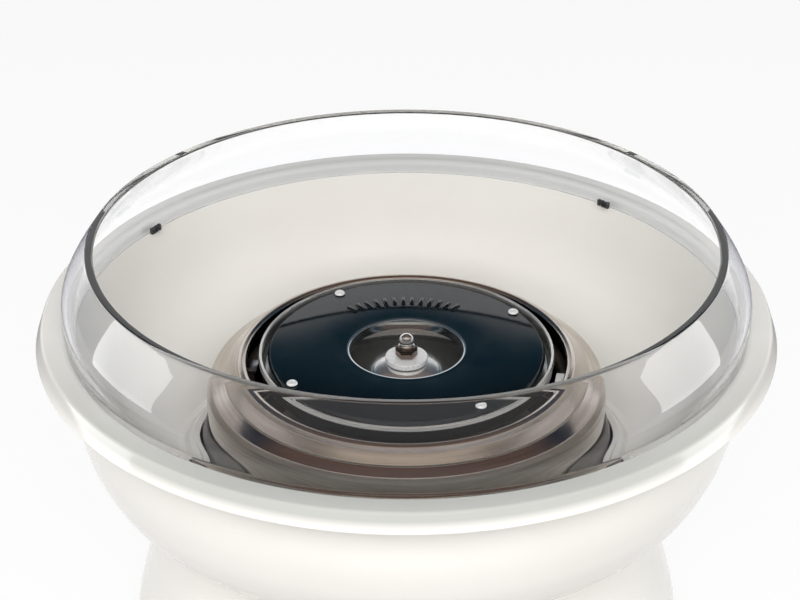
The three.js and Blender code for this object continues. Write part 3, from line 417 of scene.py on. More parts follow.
def cream_plastic():
    """Glossy cream. The front half of the bowl's rim is painted greyer as painted shade, to match a
    shade that these lamps don't give. It isn't a colour of the plastic."""
    f = Finish("cream_plastic", (0.83, 0.805, 0.76), 0.1, specular_ior_level=0.4)
    cloudy = f.shared("mottle", "Value", Scale=14.0, Speckle=0.1)
    base = f.blend(cloudy, (0.815, 0.79, 0.745, 1.0), (0.84, 0.82, 0.775, 1.0))
    _, y, z = f.axes()
    on_rim = f.span(z, (RIM_Z - 6) * MM, (RIM_Z - 3) * MM)
    # Painted shade: the front of the rim is painted greyer here, standing in for shade; it is not a colour of
    # the plastic.
    painted_shade = f.math("MULTIPLY", on_rim, f.span(y, -0.03, -0.13, 0.15, 1.0))
    f.set("Base Color", f.blend(painted_shade, base, (0.50, 0.505, 0.475, 1.0)))
    f.roughen(0.09, 0.13, 40.0)
    f.bump(f.noise(f.place(), 30.0, 1.0), 0.05, 0.5)
    return f


def clear_plastic():
    """Clear plastic that lets most of the lamps' light through."""
    f = Finish("clear_plastic", (0.985, 0.988, 1.0), 0.0, transmission_weight=1.0, ior=1.5)
    f.roughen(0.0, 0.01, 90.0)
    through = f.node("ShaderNodeBsdfTransparent")
    through.inputs[0].default_value = (0.93, 0.945, 0.96, 1.0)
    path = f.node("ShaderNodeLightPath")
    mixed = f.node("ShaderNodeMixShader")
    f.join(path.outputs["Is Shadow Ray"], mixed.inputs[0])
    f.join(f.shader.outputs[0], mixed.inputs[1])
    f.join(through.outputs[0], mixed.inputs[2])
    f.join(mixed.outputs[0], f.output.inputs["Surface"])
    return f


def black_enamel():
    """Glossy black, with a thin pale metallic line round the filling hole."""
    f = Finish("black_enamel", (0.012, 0.02, 0.027), 0.04)
    base = f.blend(f.shared("mottle", "Value", Scale=25.0, Speckle=0.4),
                   (0.0015, 0.003, 0.0045, 1.0), (0.003, 0.006, 0.0085, 1.0))
    base = f.blend(f.shared("dust", "Mask", Scale=700.0, Amount=0.05), base, (0.12, 0.15, 0.17, 1.0))
    bright_line = f.span(f.radius(), (HOLE_R + 0.1) * MM, (HOLE_R - 0.25) * MM)
    f.set("Base Color", f.blend(bright_line, base, (0.62, 0.68, 0.72, 1.0)))
    f.set("Metallic", bright_line)
    f.roughen(0.035, 0.06, 60.0)
    f.bump(f.noise(f.place(), 60.0, 1.0), 0.004, 0.4)
    return f


def collar_metal():
    """Warm drawn metal with the fine rings of its turning."""
    f = Finish("collar_metal", (0.60, 0.54, 0.49), 0.2, 1.0)
    f.set("Base Color", f.blend(f.shared("turning", "Streak", Pitch=900.0, Broken=1.2),
                                (0.50, 0.445, 0.40, 1.0), (0.63, 0.575, 0.52, 1.0)))
    f.roughen(0.13, 0.21, 55.0)
    f.bump(f.shared("turning", "Height", Pitch=2600.0, Broken=0.8), 0.02, 0.5)
    return f


def aluminium():
    """Bright spun aluminium. The pan's outer wall is painted near-black: painted shade for the dark gap round
    it.
    """
    f = Finish("aluminium", (0.84, 0.84, 0.83), 0.2, 0.9)
    cloudy = f.shared("mottle", "Value", Scale=45.0, Speckle=0.3)
    base = f.blend(cloudy, (0.76, 0.76, 0.74, 1.0), (0.86, 0.86, 0.84, 1.0))
    # Painted shade: the pan's outer wall below the roll is painted near-black, standing in for the shade in
    # the gap round it.
    outside = f.span(f.radius(), (HEAD_R - 1.3) * MM, (HEAD_R - 1.1) * MM)
    below_roll = f.span(f.axes()["Z"], (HEAD_Z - 1.2) * MM, (HEAD_Z - 2.0) * MM)
    painted_shade = f.math("MULTIPLY", outside, below_roll)
    f.set("Base Color", f.blend(painted_shade, base, (0.012, 0.018, 0.024, 1.0)))
    f.roughen(0.14, 0.24, 70.0)
    f.bump(f.shared("turning", "Height", Pitch=3200.0, Broken=0.5), 0.015, 0.5)
    return f


def steel():
    f = Finish("steel", (0.55, 0.56, 0.57), 0.32, 1.0)
    f.vary((0.48, 0.49, 0.51), (0.60, 0.61, 0.62), 120.0)
    f.roughen(0.26, 0.40, 200.0)
    return f


def bright_metal():
    """Pale satin metal for the washer and rivets, less of a mirror than bare metal is."""
    f = Finish("bright_metal", (0.93, 0.92, 0.91), 0.3, 0.4)
    f.vary((0.90, 0.89, 0.88), (0.95, 0.94, 0.93), 160.0)
    f.roughen(0.26, 0.38, 400.0)
    return f


def nut_metal():
    """Bright on top, and painted dark below the rounded top: a painted reflection of the dark room that the
    flats mirror, not a colour of the metal.
    """
    f = Finish("nut_metal", (0.30, 0.25, 0.22), 0.12, 1.0)
    # Painted reflection: below the rounded top the nut is painted dark, standing in for the dark room its
    # flats mirror.
    above_painted_reflection = f.span(f.axes()["Z"], (high("acorn_nut") - 5.2) * MM, (high("acorn_nut") - 4.6) * MM)
    f.set("Base Color", f.blend(above_painted_reflection, (0.20, 0.155, 0.13, 1.0), (0.95, 0.93, 0.90, 1.0)))
    f.roughen(0.06, 0.14, 400.0)
    return f


def heating_element():
    f = Finish("heating_element", (0.10, 0.09, 0.085), 0.55, 0.8)
    f.vary((0.06, 0.055, 0.05), (0.15, 0.12, 0.10), 70.0)
    f.roughen(0.45, 0.65, 150.0)
    f.bump(f.noise(f.place(), 1500.0), 0.02, 0.6)
    return f


def ceramic():
    f = Finish("ceramic", (0.86, 0.85, 0.82), 0.5)
    f.vary((0.80, 0.79, 0.76), (0.88, 0.87, 0.845), 150.0, 0.5)
    f.roughen(0.42, 0.6, 300.0)
    f.bump(f.noise(f.place(), 2200.0), 0.03, 0.7)
    return f


def rubber():
    f = Finish("rubber", (0.025, 0.025, 0.026), 0.7)
    f.vary((0.02, 0.02, 0.021), (0.036, 0.036, 0.037), 90.0)
    f.roughen(0.6, 0.8, 250.0)
    f.bump(f.noise(f.place(), 1800.0), 0.03, 0.6)
    return f


def black_plastic():
    f = Finish("black_plastic", (0.03, 0.03, 0.032), 0.42)
    f.vary((0.024, 0.024, 0.026), (0.038, 0.038, 0.04), 80.0)
    f.roughen(0.36, 0.5, 300.0)
    f.bump(f.noise(f.place(), 2600.0), 0.025, 0.7)
    return f


def seal_rubber():
    f = Finish("seal_rubber", (0.12, 0.105, 0.095), 0.42)
    f.vary((0.10, 0.088, 0.08), (0.15, 0.132, 0.12), 60.0)
    f.roughen(0.34, 0.5, 120.0)
    f.bump(f.noise(f.place(), 900.0), 0.03, 0.5)
    return f


def copper():
    f = Finish("copper", (0.72, 0.36, 0.18), 0.3, 1.0)
    f.vary((0.60, 0.28, 0.13), (0.80, 0.43, 0.24), 110.0)
    f.bump(f.shared("turning", "Height", Pitch=5200.0, Broken=0.2), 0.12)
    return f


def bronze():
    f = Finish("bronze", (0.50, 0.36, 0.18), 0.42, 1.0)
    f.vary((0.42, 0.30, 0.15), (0.57, 0.42, 0.22), 200.0, 0.6)
    f.roughen(0.36, 0.52, 300.0)
    return f


def iron():
    f = Finish("iron", (0.10, 0.10, 0.11), 0.45, 0.85)
    f.vary((0.075, 0.075, 0.08), (0.14, 0.14, 0.15), 120.0)
    f.roughen(0.38, 0.55, 260.0)
    return f


def carbon():
    f = Finish("carbon", (0.035, 0.035, 0.036), 0.6, 0.2)
    f.vary((0.028, 0.028, 0.029), (0.05, 0.05, 0.051), 400.0, 0.8)
    f.roughen(0.5, 0.7, 500.0)
    return f


def glass_sleeve():
    f = Finish("glass_sleeve", (0.62, 0.58, 0.50), 0.7)
    f.vary((0.55, 0.51, 0.44), (0.68, 0.64, 0.56), 180.0)
    f.bump(f.noise(f.place(), 1400.0), 0.1, 0.8)
    return f


MAKERS = {
    "cream": cream_plastic, "clear": clear_plastic, "black_enamel": black_enamel,
    "collar_metal": collar_metal, "aluminium": aluminium, "steel": steel, "bright": bright_metal,
    "element": heating_element, "ceramic": ceramic, "rubber": rubber, "black_plastic": black_plastic,
    "seal": seal_rubber, "copper": copper, "bronze": bronze, "iron": iron, "carbon": carbon,
    "insulation": glass_sleeve,
}
made_finishes = {}


def finish(slot):
    if slot not in made_finishes:
        made_finishes[slot] = MAKERS[slot]().material
    return made_finishes[slot]


# Bowl: upstand, floor, deep wall and turned-down rim

def make_bowl():
    floor_z = DECK_Z + SEAT + BOWL_T
    edge = DECK_R - 3
    seal_r = outer("collar_seal")

    def on_wall(inwards, down):
        return BOWL_R - inwards * (BOWL_R - edge), RIM_Z - down * (RIM_Z - floor_z)

    upstand_r = seal_r + 0.8 + BOWL_T
    foot = rounded([
        (upstand_r, floor_z + 8.4, 0), (upstand_r + 0.4, floor_z + 5, 0.8),
        (FLANGE_R + 1, floor_z + 3.7, 1.5), (FLANGE_R + 4.3, floor_z, 2), (edge, floor_z, 0),
    ])
    wall = smooth([
        (edge, floor_z), on_wall(0.79, 0.94), on_wall(0.54, 0.87), on_wall(0.32, 0.767),
        on_wall(0.194, 0.657), on_wall(0.118, 0.55), on_wall(0.056, 0.386), (LIP_R - LEDGE_W, LEDGE_Z - 1),
    ])
    rim_r = BOWL_R + RIM_W

    def rim(roll):
        return rounded([
            (LIP_R - LEDGE_W, LEDGE_Z - 1, 0), (LIP_R - LEDGE_W, LEDGE_Z, 0.3), (LIP_R, LEDGE_Z, 0.1),
            (LIP_R, RIM_Z, roll), (rim_r, RIM_Z, 1.6), (outer("bowl"), RIM_Z - 7.2, 0),
        ])

    sharp = [*foot, *wall[1:], *rim(0.1)[1:]]
    back = sheet(sharp, BOWL_T)[len(sharp):]
    front = [*foot, *wall[1:], *rim(RIM_ROLL)[1:]]
    piece("bowl_moulding", turn([*front, *back]), "cream", "bowl_unit", ["bowl"])


# Splash guard: bulged clear shell standing on the ledge inside the bowl's rim

def make_guard():
    foot_z = LEDGE_Z + SEAT
    foot_r = LIP_R - SEAT
    wall_z = foot_z + 4.3
    wall_h = GUARD_TOP - wall_z
    start, lower, upper, stop = (Vector(p) for p in (
        (foot_r, wall_z), (foot_r + GUARD_BULGE, wall_z + wall_h * 0.35),
        (foot_r + 0.6, wall_z + wall_h * 0.54), (BOWL_R - 9.5, GUARD_TOP)))
    wall = [Vector((foot_r, foot_z + 0.4)), Vector((foot_r, foot_z + 2.2))]
    for k in range(33):
        t = k / 32
        s = 1 - t
        wall.append(s ** 3 * start + 3 * s * s * t * lower + 3 * s * t * t * upper + t ** 3 * stop)
    back = sheet(wall, -GUARD_T)[len(wall):]
    along = (back[0] - back[1]).normalized()
    inner_edge = back[0] + along * (GUARD_TOP - back[0].y) / along.y
    outer_wall = [p for p in wall if p.y < GUARD_TOP - 1.2]
    inner_wall = [p for p in back if p.y < GUARD_TOP - 1.8]
    lip = rounded([(*outer_wall[-1], 0), (*wall[-1], 0.5), (*inner_edge, 0.45), (*inner_wall[0], 0)], steps=5)
    foot_edge = [Vector((foot_r - GUARD_T + 0.4, foot_z)), Vector((foot_r - 0.4, foot_z))]
    outline = [*outer_wall[:-1], *lip, *inner_wall[1:], *foot_edge]
    piece("guard_moulding", turn(outline), "clear", "guard_unit", ["splash_guard"], sharp=50)


# Spring clips: each two small dark pads side by side

def make_clips():
    for number, mirror in ((1, 1), (2, -1)):
        node = f"guard_clip_{number}"
        centre = middle(node)
        face = centre.xy.length + 0.7
        clip = cuboid((0.6, 6.2, 1.6), (-0.3, 0, 0.2), 0.15)
        cuboid((1.6, 1.5, 3.0), (-0.9, mirror * 2.3, 0), 0.3, clip)
        for along, up, width, height in ((0.5, 0, 0.9, 3.0), (-2.7, 0, 0.9, 3.0), (-1.1, -1.2, 3.4, 0.8)):
            cuboid((1.6, width, height), (-0.9, mirror * along, up), 0.25, clip)
        cuboid((1.0, 2.6, 2.0), (-0.6, mirror * -1.1, 0.2), 0.2, clip)
        placed(clip, math.degrees(math.atan2(centre.y, centre.x)), (face, 0, centre.z))
        piece(f"guard_clip_{number}_pads", clip, "iron", "guard_unit", [node])


# Heat collar and its flared seal

def make_collar():
    mouth = HEAD_R + COLLAR_GAP
    wall_r = mouth + SHOULDER_W
    flange_z = DECK_Z + SEAT + 1
    face = rounded([
        (mouth, COLLAR_Z - 2.9, 0), (mouth, COLLAR_Z - 0.4, 1.0), (mouth + 1.8, COLLAR_Z, 1.2),
        (mouth + SHOULDER_W * 0.215, COLLAR_Z - 0.4, 1.4), (mouth + SHOULDER_W * 0.29, COLLAR_Z - 2.6, 1.6),
        (mouth + SHOULDER_W * 0.53, COLLAR_Z - 6.2, 0.3), (mouth + SHOULDER_W * 0.545, COLLAR_Z - 7.1, 0.3),
        (mouth + SHOULDER_W * 0.9, COLLAR_Z - 9.9, 1.6), (wall_r - 0.4, COLLAR_Z - 13, 1.6),
        (wall_r, COLLAR_Z - 17, 3), (wall_r, flange_z, 1.2), (FLANGE_R, flange_z, 0),
    ], steps=7)
    piece("heat_collar_drawn", turn(sheet(face, COLLAR_T)), "collar_metal", "base", ["heat_collar"], sharp=55)
    bottom = flange_z + SEAT
    inside = wall_r + SEAT
    seal_r = outer("collar_seal")
    seal_h = high("collar_seal") - low("collar_seal")
    flare = smooth([
        (seal_r, bottom + 1), (seal_r - 0.1, bottom + seal_h * 0.15), (seal_r - 0.6, bottom + seal_h * 0.42),
        (seal_r - 2, bottom + seal_h * 0.71), (inside + 1.1, bottom + seal_h - 0.4),
    ])
    seal = [Vector((inside, bottom + 0.6)), Vector((inside + 0.6, bottom)), Vector((seal_r - 0.5, bottom)),
            *flare, Vector((inside + 0.7, bottom + seal_h)), Vector((inside, bottom + seal_h - 0.2))]
    piece("collar_seal_ring", turn(seal), "seal", "base", ["collar_seal"])


# Spinning head: pan, cover disc with plain ribs, rivets, cone, washer and dome nut

def make_pan():
    ledge_z = HEAD_Z - PAN_LEDGE
    floor_z = HEAD_Z - PAN_DEPTH + PAN_T
    disc_r = outer("cover_disc")
    ledge_r = disc_r - 3.2 - 4.5
    edge = HEAD_R - 2.2
    face = rounded([
        (BORE_R, floor_z, 0), (ledge_r - 5.5, floor_z, 3), (ledge_r - 1, ledge_z - 1, 1),
        (ledge_r, ledge_z, 0.6), (edge, ledge_z, 0.8), (edge + 1, ledge_z + 1.6, 0.8),
        (edge + 1, HEAD_Z - 0.9, 0),
    ])
    other = sheet(face, PAN_T)[len(face):]
    roll = rounded([
        (edge + 1, HEAD_Z - 0.9, 0), (edge + 1.2, HEAD_Z, 0.6), (HEAD_R, HEAD_Z, 0.7),
        (HEAD_R, HEAD_Z - 1.5, 0.5), (other[0].x, HEAD_Z - 1.8, 0),
    ])
    pan = turn([*face, *roll[1:], *other[1:]])
    boss = turn(rounded([
        (3.3, floor_z - 1.6, 0), (9, floor_z - 1.6, 0), (9, floor_z - 6, 0.8), (3.3, floor_z - 6, 0.4),
    ], ends=True), SMALL)
    piece("head_pan_spun", add_to(pan, boss), "aluminium", "spinning_head", ["head_pan"])


def make_disc():
    top = HEAD_Z - 0.1
    disc_r = outer("cover_disc")
    dish, dish_r = 0.19, disc_r - 1.2
    dished = []
    for k in range(13):
        inwards = 1 - k / 12
        dished.append((dish_r - inwards * (dish_r - HOLE_R), top - dish * inwards ** 2, 0))
    face = rounded([
        (HOLE_R - 0.9, top - 4.6, 0), (HOLE_R - 0.9, top - dish, 0.8), *dished,
        (disc_r - 0.9, top, 0.6), (disc_r, top - 1.6, 0),
    ], steps=7)
    disc = turn(sheet(face, PAN_T))
    first, last, count = 58.0, 126.0, 13
    for k in range(count):
        angle = first + (last - first) * k / (count - 1)
        rib = cuboid((6.0, 1.9, 1.3), (0, 0, 0), 0.6)
        placed(rib, angle, (39.5, 0, top))
        add_to(disc, rib)
    piece("cover_disc_pressed", disc, "black_enamel", "spinning_head", ["cover_disc"])


def make_rivets():
    for number in range(1, 5):
        node = f"rivet_{number}"
        centre = middle(node)
        face, tail = high(node), low(node)
        rivet = turn(rounded([
            (0, tail, 0), (2.2, tail + 0.2, 0.3), (2.2, tail + 1, 0.2), (1.3, tail + 1, 0),
            (1.3, face - 1.2, 0), (2.2, face - 1.2, 0.1), (2.2, face - 0.75, 0.25), (1.75, face - 0.2, 0.5),
            (0, face, 0),
        ]), SMALL)
        placed(rivet, 0, (centre.x, centre.y, 0))
        piece(f"rivet_{number}_head", rivet, "bright", "spinning_head", [node])


def make_cone():
    bottom, top = low("cone_hub"), high("cone_hub")
    height = top - bottom
    radius = outer("cone_hub")
    top_r = outer("washer") + 0.5

    def on_cone(outwards, up):
        return top_r + outwards * (radius - top_r), bottom + up * height

    slope = smooth([on_cone(1, 0.05), on_cone(0.86, 0.25), on_cone(0.72, 0.52), on_cone(0.55, 0.76),
                    on_cone(0.36, 0.9), on_cone(0.18, 0.96), (top_r - 0.5, top)])
    outline = [Vector((BORE_R, bottom)), Vector((radius - 0.3, bottom)), *slope, Vector((BORE_R, top))]
    piece("cone_hub_spun", turn(outline, MEDIUM), "aluminium", "spinning_head", ["cone_hub"])


def make_washer_and_nut():
    bottom, top = low("washer"), high("washer")
    radius = outer("washer")
    washer = turn(rounded([
        (BORE_R, bottom, 0.1), (radius, bottom, 0.5), (radius, top, 0.3), (BORE_R, top, 0.1),
    ], ends=True), MEDIUM)
    piece("washer_turned", washer, "bright", "spinning_head", ["washer"])
    base, peak = low("acorn_nut"), high("acorn_nut")
    height = peak - base - NUT_BALL_R - 2.75
    corner = NUT_FLATS / math.sqrt(3)
    hexagon = bmesh.new()
    bmesh.ops.create_cone(hexagon, cap_ends=True, segments=6, radius1=corner * MM, radius2=corner * MM,
                          depth=height * MM)
    bmesh.ops.rotate(hexagon, cent=(0, 0, 0), matrix=Matrix.Rotation(math.pi / 2, 3, "Z"),
                     verts=hexagon.verts)
    bmesh.ops.bevel(hexagon, geom=hexagon.edges[:], offset=0.28 * MM, segments=3, profile=0.5,
                    affect="EDGES", material=-1)
    bmesh.ops.translate(hexagon, vec=(0, 0, (base + height / 2) * MM), verts=hexagon.verts)
    neck = base + height
    centre = peak - NUT_BALL_R
    dome = [Vector((0, neck - 0.4)), Vector((4.0, neck - 0.4)), Vector((3.85, neck + 0.25)),
            Vector((3.75, neck + 0.5)), Vector((3.0, neck + 1.2)), Vector((2.8, neck + 1.35))]
    for k in range(16):
        angle = math.radians(-26 + 116 * k / 15)
        out, up = NUT_BALL_R * math.cos(angle), NUT_BALL_R * math.sin(angle)
        dome.append(Vector((max(out, 0), centre + up)))
    nut = piece("dome_nut", add_to(hexagon, turn(dome, SMALL)), "bright", "spinning_head", ["acorn_nut"])
    nut.data.materials[0] = nut_metal().material


# Heater: the element as a round bent tube, and its ceramic holders

def make_element():
    ring_r = (outer("heater_ring") + HEAD_R + 1.2 + 1.3) / 2
    ring_z = high("heater_ring") - ELEMENT_R
    bottom = low("heater_ring")
    gap, half, bend = 50.0, 8.0, 6.0
    first, last = gap + half, gap - half + 360
    route = []

    def on_ring(angle, z):
        a = math.radians(angle)
        return Vector((ring_r * math.cos(a), ring_r * math.sin(a), z)) * MM

    route += [on_ring(first, bottom + 0.5), on_ring(first, ring_z - bend - 8), on_ring(first, ring_z - bend)]
    steps = 90
    for k in range(steps + 1):
        route.append(on_ring(first + 5 + (last - first - 10) * k / steps, ring_z))
    route += [on_ring(last, ring_z - bend), on_ring(last, ring_z - bend - 8), on_ring(last, bottom + 0.5)]
    curve = bpy.data.curves.new("element_route", "CURVE")
    curve.dimensions = "3D"
    curve.bevel_depth = ELEMENT_R * MM
    curve.bevel_resolution = 4
    curve.use_fill_caps = True
    spline = curve.splines.new("NURBS")
    spline.points.add(len(route) - 1)
    for point, place in zip(spline.points, route):
        point.co = (*place, 1)
    spline.use_endpoint_u = True
    spline.order_u = 3
    holder = bpy.data.objects.new("element_route", curve)
    scene.collection.objects.link(holder)
    mesh = bmesh.new()
    tube = holder.evaluated_get(bpy.context.evaluated_depsgraph_get()).to_mesh()
    mesh.from_mesh(tube)
    bpy.data.objects.remove(holder)
    bpy.data.curves.remove(curve)
    bmesh.ops.remove_doubles(mesh, verts=mesh.verts, dist=1e-6)
    piece("heater_ring_tube", mesh, "element", "base", ["heater_ring"])


# Base shell: deck, flared wall and the two flat panels

def carve(target, tool, operation):
    """Joins tool to target or cuts it away, and keeps the result as target's own mesh."""
    modifier = target.modifiers.new("carve", "BOOLEAN")
    modifier.operation = operation
    modifier.solver = "EXACT"
    modifier.object = tool
    bpy.context.view_layer.update()
    result = bpy.data.meshes.new_from_object(target.evaluated_get(bpy.context.evaluated_depsgraph_get()))
    target.modifiers.clear()
    target.data = result
    bpy.data.objects.remove(tool)


def loose(mesh):
    """An object to carve, or to carve with."""
    data = bpy.data.meshes.new("tool")
    mesh.to_mesh(data)
    mesh.free()
    made = bpy.data.objects.new("tool", data)
    scene.collection.objects.link(made)
    return made


def make_base():
    foot_z = low("base_shell")
    flare = BASE_R - DECK_R
    shoulder = (DECK_R + 0.15, DECK_Z - 2.5)
    wall = smooth([
        shoulder, (DECK_R + flare * 0.14, DECK_Z * 0.8), (DECK_R + flare * 0.5, DECK_Z * 0.5),
        (DECK_R + flare * 0.89, DECK_Z * 0.24), (BASE_R, foot_z),
    ])
    face = [*rounded([(30, DECK_Z, 0), (DECK_R, DECK_Z, 2.4), (*shoulder, 0)]), *wall[1:]]
    shell = loose(turn(sheet(face, SHELL_T)))
    panel_z, panel_y, depth = middle("switch_housing").z, BASE_R - 2, 16.0
    for side, width, height in ((-1, 29.0, 27.4), (1, 27.6, 27.6)):
        centre = (0, side * (panel_y - depth / 2), panel_z)
        carve(shell, loose(cuboid((width, depth, height), centre, 1.6)), "UNION")
        hollow = (width - 2 * SHELL_T, depth, height - 2 * SHELL_T)
        centre = (0, side * (panel_y - SHELL_T - depth / 2), panel_z)
        carve(shell, loose(cuboid(hollow, centre)), "DIFFERENCE")
    carve(shell, loose(cuboid((13, 12, 19.4), (0, -panel_y, panel_z))), "DIFFERENCE")
    hole = turn([(0, -6), (7, -6), (7, 6), (0, 6)], SMALL)
    bmesh.ops.rotate(hole, cent=(0, 0, 0), matrix=Matrix.Rotation(math.pi / 2, 3, "X"), verts=hole.verts)
    carve(shell, loose(placed(hole, 0, (0, panel_y, panel_z))), "DIFFERENCE")
    mesh = bmesh.new()
    mesh.from_mesh(shell.data)
    bpy.data.objects.remove(shell)
    piece("base_moulding", mesh, "cream", "base", ["base_shell"], sharp=40)


def make_feet():
    for number in range(1, 5):
        node = f"rubber_foot_{number}"
        centre = middle(node)
        foot_h = low("base_plate") - SEAT
        tip = high(node)
        foot = turn(rounded([
            (0, 1.6, 0), (9.2, TABLE_Z, 0.8), (11.5, TABLE_Z, 0.8), (8.3, foot_h, 0.6), (3, foot_h, 0),
            (3, foot_h + 2.6, 0), (4.4, foot_h + 2.6, 0.3), (2.5, tip, 0.5), (0, tip, 0),
        ]), SMALL)
        placed(foot, 0, (centre.x, centre.y, 0))
        piece(f"rubber_foot_{number}_moulding", foot, "rubber", "base", [node])


def make_screws():
    """Cross-headed screws, drawn head down and turned over where the head is on top."""
    sets = (("base_screw", 3.3, 2.2, True), ("bracket_screw", 3.3, 2.2, True),
            ("collar_screw", 2.4, 1.6, False))
    for name, head_r, head_h, head_down in sets:
        for number in range(1, 4):
            node = f"{name}_{number}"
            bottom, top = low(node), high(node)
            centre = middle(node)
            length = top - bottom
            shank = [(1.5, head_h)]
            turns = 2 * int((length - head_h - 1.5) / 1.0)
            for k in range(turns):
                shank.append((1.5 if k % 2 else 1.15, head_h + 0.4 + 0.5 * k))
            shank += [(1.1, length - 0.8), (0, length)]
            outline = [(0, 0.5), (0.6, 0.45), (1.0, 0.05), (head_r * 0.8, 0.0), (head_r, head_h * 0.45),
                       (head_r, head_h), *shank]
            screw = turn(outline, 24)
            for angle in (0, 90):
                cross = cuboid((head_r * 1.1, 0.7, 0.5), (0, 0, 0.05), 0.1)
                add_to(screw, placed(cross, angle))
            if not head_down:
                bmesh.ops.rotate(screw, cent=(0, 0, 0), matrix=Matrix.Rotation(math.pi, 3, "X"),
                                 verts=screw.verts)
            start = bottom if head_down else top
            piece(f"{node}_turned", placed(screw, 0, (centre.x, centre.y, start)), "steel", "base", [node])


def make_cord_bush():
    face = outer("cord_bush")
    centre = middle("cord_bush")
    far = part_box("cord_bush")[1].y / MM
    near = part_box("cord_bush")[0].y / MM
    bush = turn(rounded([
        (3.7, near, 0.5), (6.1, near, 0.4), (6.7, near + 1, 0.4), (6.7, far - 2.7, 0), (face, far - 2.7, 0.3),
        (face, far - 1, 0.6), (8.4, far, 0.6), (3.7, far, 0.8),
    ], ends=True), SMALL)
    bmesh.ops.rotate(bush, cent=(0, 0, 0), matrix=Matrix.Rotation(-math.pi / 2, 3, "X"), verts=bush.verts)
    piece("cord_bush_moulding", placed(bush, 0, (0, 0, centre.z)), "rubber", "base", ["cord_bush"])


# Everything else keeps its own shape, some with rounded edges

def make_the_rest():
    for number in range(1, 4):
        refined(f"ceramic_holder_{number}", "ceramic", "base", 0.4)
    refined("terminal_block", "ceramic", "base", 0.5)
    refined("cutout_bracket", "steel", "base", 0.15)
    refined("base_plate", "black_plastic", "base", 0.3)
    refined("switch_housing", "black_plastic", "base", 0.3)
    refined("rocker", "black_plastic", "switch_rocker", 0.35)
    refined("motor_bracket", "steel", "base", 0.25)
    refined("motor_end_cap", "black_plastic", "base", 0.2)
    slots = {s["node"]: s["material_slot"] for s in frame["record"]["subparts"]}
    for name, node in nodes.items():
        if not node.hide_render:
            node.data.materials.clear()
            node.data.materials.append(finish(slots[name]))


make_bowl()
make_guard()
make_clips()
make_collar()
make_pan()
make_disc()
make_rivets()
make_cone()
make_washer_and_nut()
make_element()
make_base()
make_feet()
make_screws()
make_cord_bush()
make_the_rest()


# Studio: white floor and backdrop, soft lamps round the machine and a dim room beyond them

FLOOR_R = 1.6
FLOOR_DROP = 0.0002
FLOOR_SEEN = (0.96, 0.96, 0.96, 1)
FLOOR_BOUNCE = (0.55, 0.55, 0.55, 1)
FLOOR_GLOW = 0.91
FLOOR_LIT_R = 0.30
FLOOR_DARK_R = 0.40
WHITE = (1.0, 1.0, 1.0, 1)
WHITE_THROUGH = (1.12, 1.12, 1.12, 1)     # makes up for what the clear plastic takes
ROOM_LOW = (0.05, 0.055, 0.10, 1)


def make_floor():
    """White floor that glows where it is seen, so that it keeps only a soft shadow."""
    mesh = bmesh.new()
    bmesh.ops.create_circle(mesh, cap_ends=True, segments=96, radius=FLOOR_R)
    data = bpy.data.meshes.new("floor")
    mesh.to_mesh(data)
    mesh.free()
    floor = bpy.data.objects.new("floor", data)
    floor.location = (0, 0, TABLE_Z - FLOOR_DROP)
    scene.collection.objects.link(floor)
    f = Finish("floor_white", FLOOR_BOUNCE[:3], 0.9)
    path = f.node("ShaderNodeLightPath")
    seen = seen_directly(f, path)
    f.set("Base Color", f.blend(seen, FLOOR_BOUNCE, FLOOR_SEEN))
    distance = f.node("ShaderNodeVectorMath", operation="LENGTH")
    f.join(f.place(), distance.inputs[0])
    far = f.span(distance.outputs["Value"], FLOOR_LIT_R, FLOOR_DARK_R)
    through = path.outputs["Is Transmission Ray"]
    in_gloss = f.math("SUBTRACT", path.outputs["Is Glossy Ray"], through, clamp=True)
    ahead = f.math("MULTIPLY", leaving_glass(f, path), f.span(f.axes()["Y"], -0.16, -0.22))
    glow = f.node("ShaderNodeEmission")
    white = f.blend(through, WHITE, WHITE_THROUGH)
    dark = f.math("MAXIMUM", f.math("MULTIPLY", far, in_gloss), ahead)
    f.join(f.blend(dark, white, ROOM_LOW), glow.inputs["Color"])
    mixed = f.node("ShaderNodeMixShader")
    f.join(f.math("MULTIPLY", seen, FLOOR_GLOW), mixed.inputs[0])
    f.join(f.shader.outputs[0], mixed.inputs[1])
    f.join(glow.outputs[0], mixed.inputs[2])
    f.join(mixed.outputs[0], f.output.inputs["Surface"])
    data.materials.append(f.material)


def leaving_glass(tree, path):
    """1 for light that leaves clear plastic after it was mirrored somewhere."""
    reflected = tree.math("GREATER_THAN", path.outputs["Glossy Depth"], 0.5)
    return tree.math("MULTIPLY", path.outputs["Is Transmission Ray"], reflected)


def seen_directly(tree, path):
    """1 for what the camera, gloss and clear plastic see, and 0 for scattered light."""
    mirrored = tree.math("ADD", path.outputs["Is Glossy Ray"], path.outputs["Is Transmission Ray"])
    return tree.math("ADD", mirrored, path.outputs["Is Camera Ray"], clamp=True)


# What gloss and clear plastic see beyond the floor, by direction

BACKDROP_TOP = 0.5
ROOM_ABOVE = (0.025, 0.13, 0.21, 1)
ROOM_FAR = (0.016, 0.026, 0.045, 1)
ROOM_FRONT = (0.06, 0.065, 0.08, 1)
FRONT_WALL = (0.36, 0.34, 0.31, 1)
CEILING = (0.62, 0.56, 0.49, 1)
ZENITH = (0.14, 0.095, 0.08, 1)
ROOM_THROUGH = (0.57, 0.54, 0.53, 1)
AMBIENT = (0.06, 0.06, 0.061, 1)


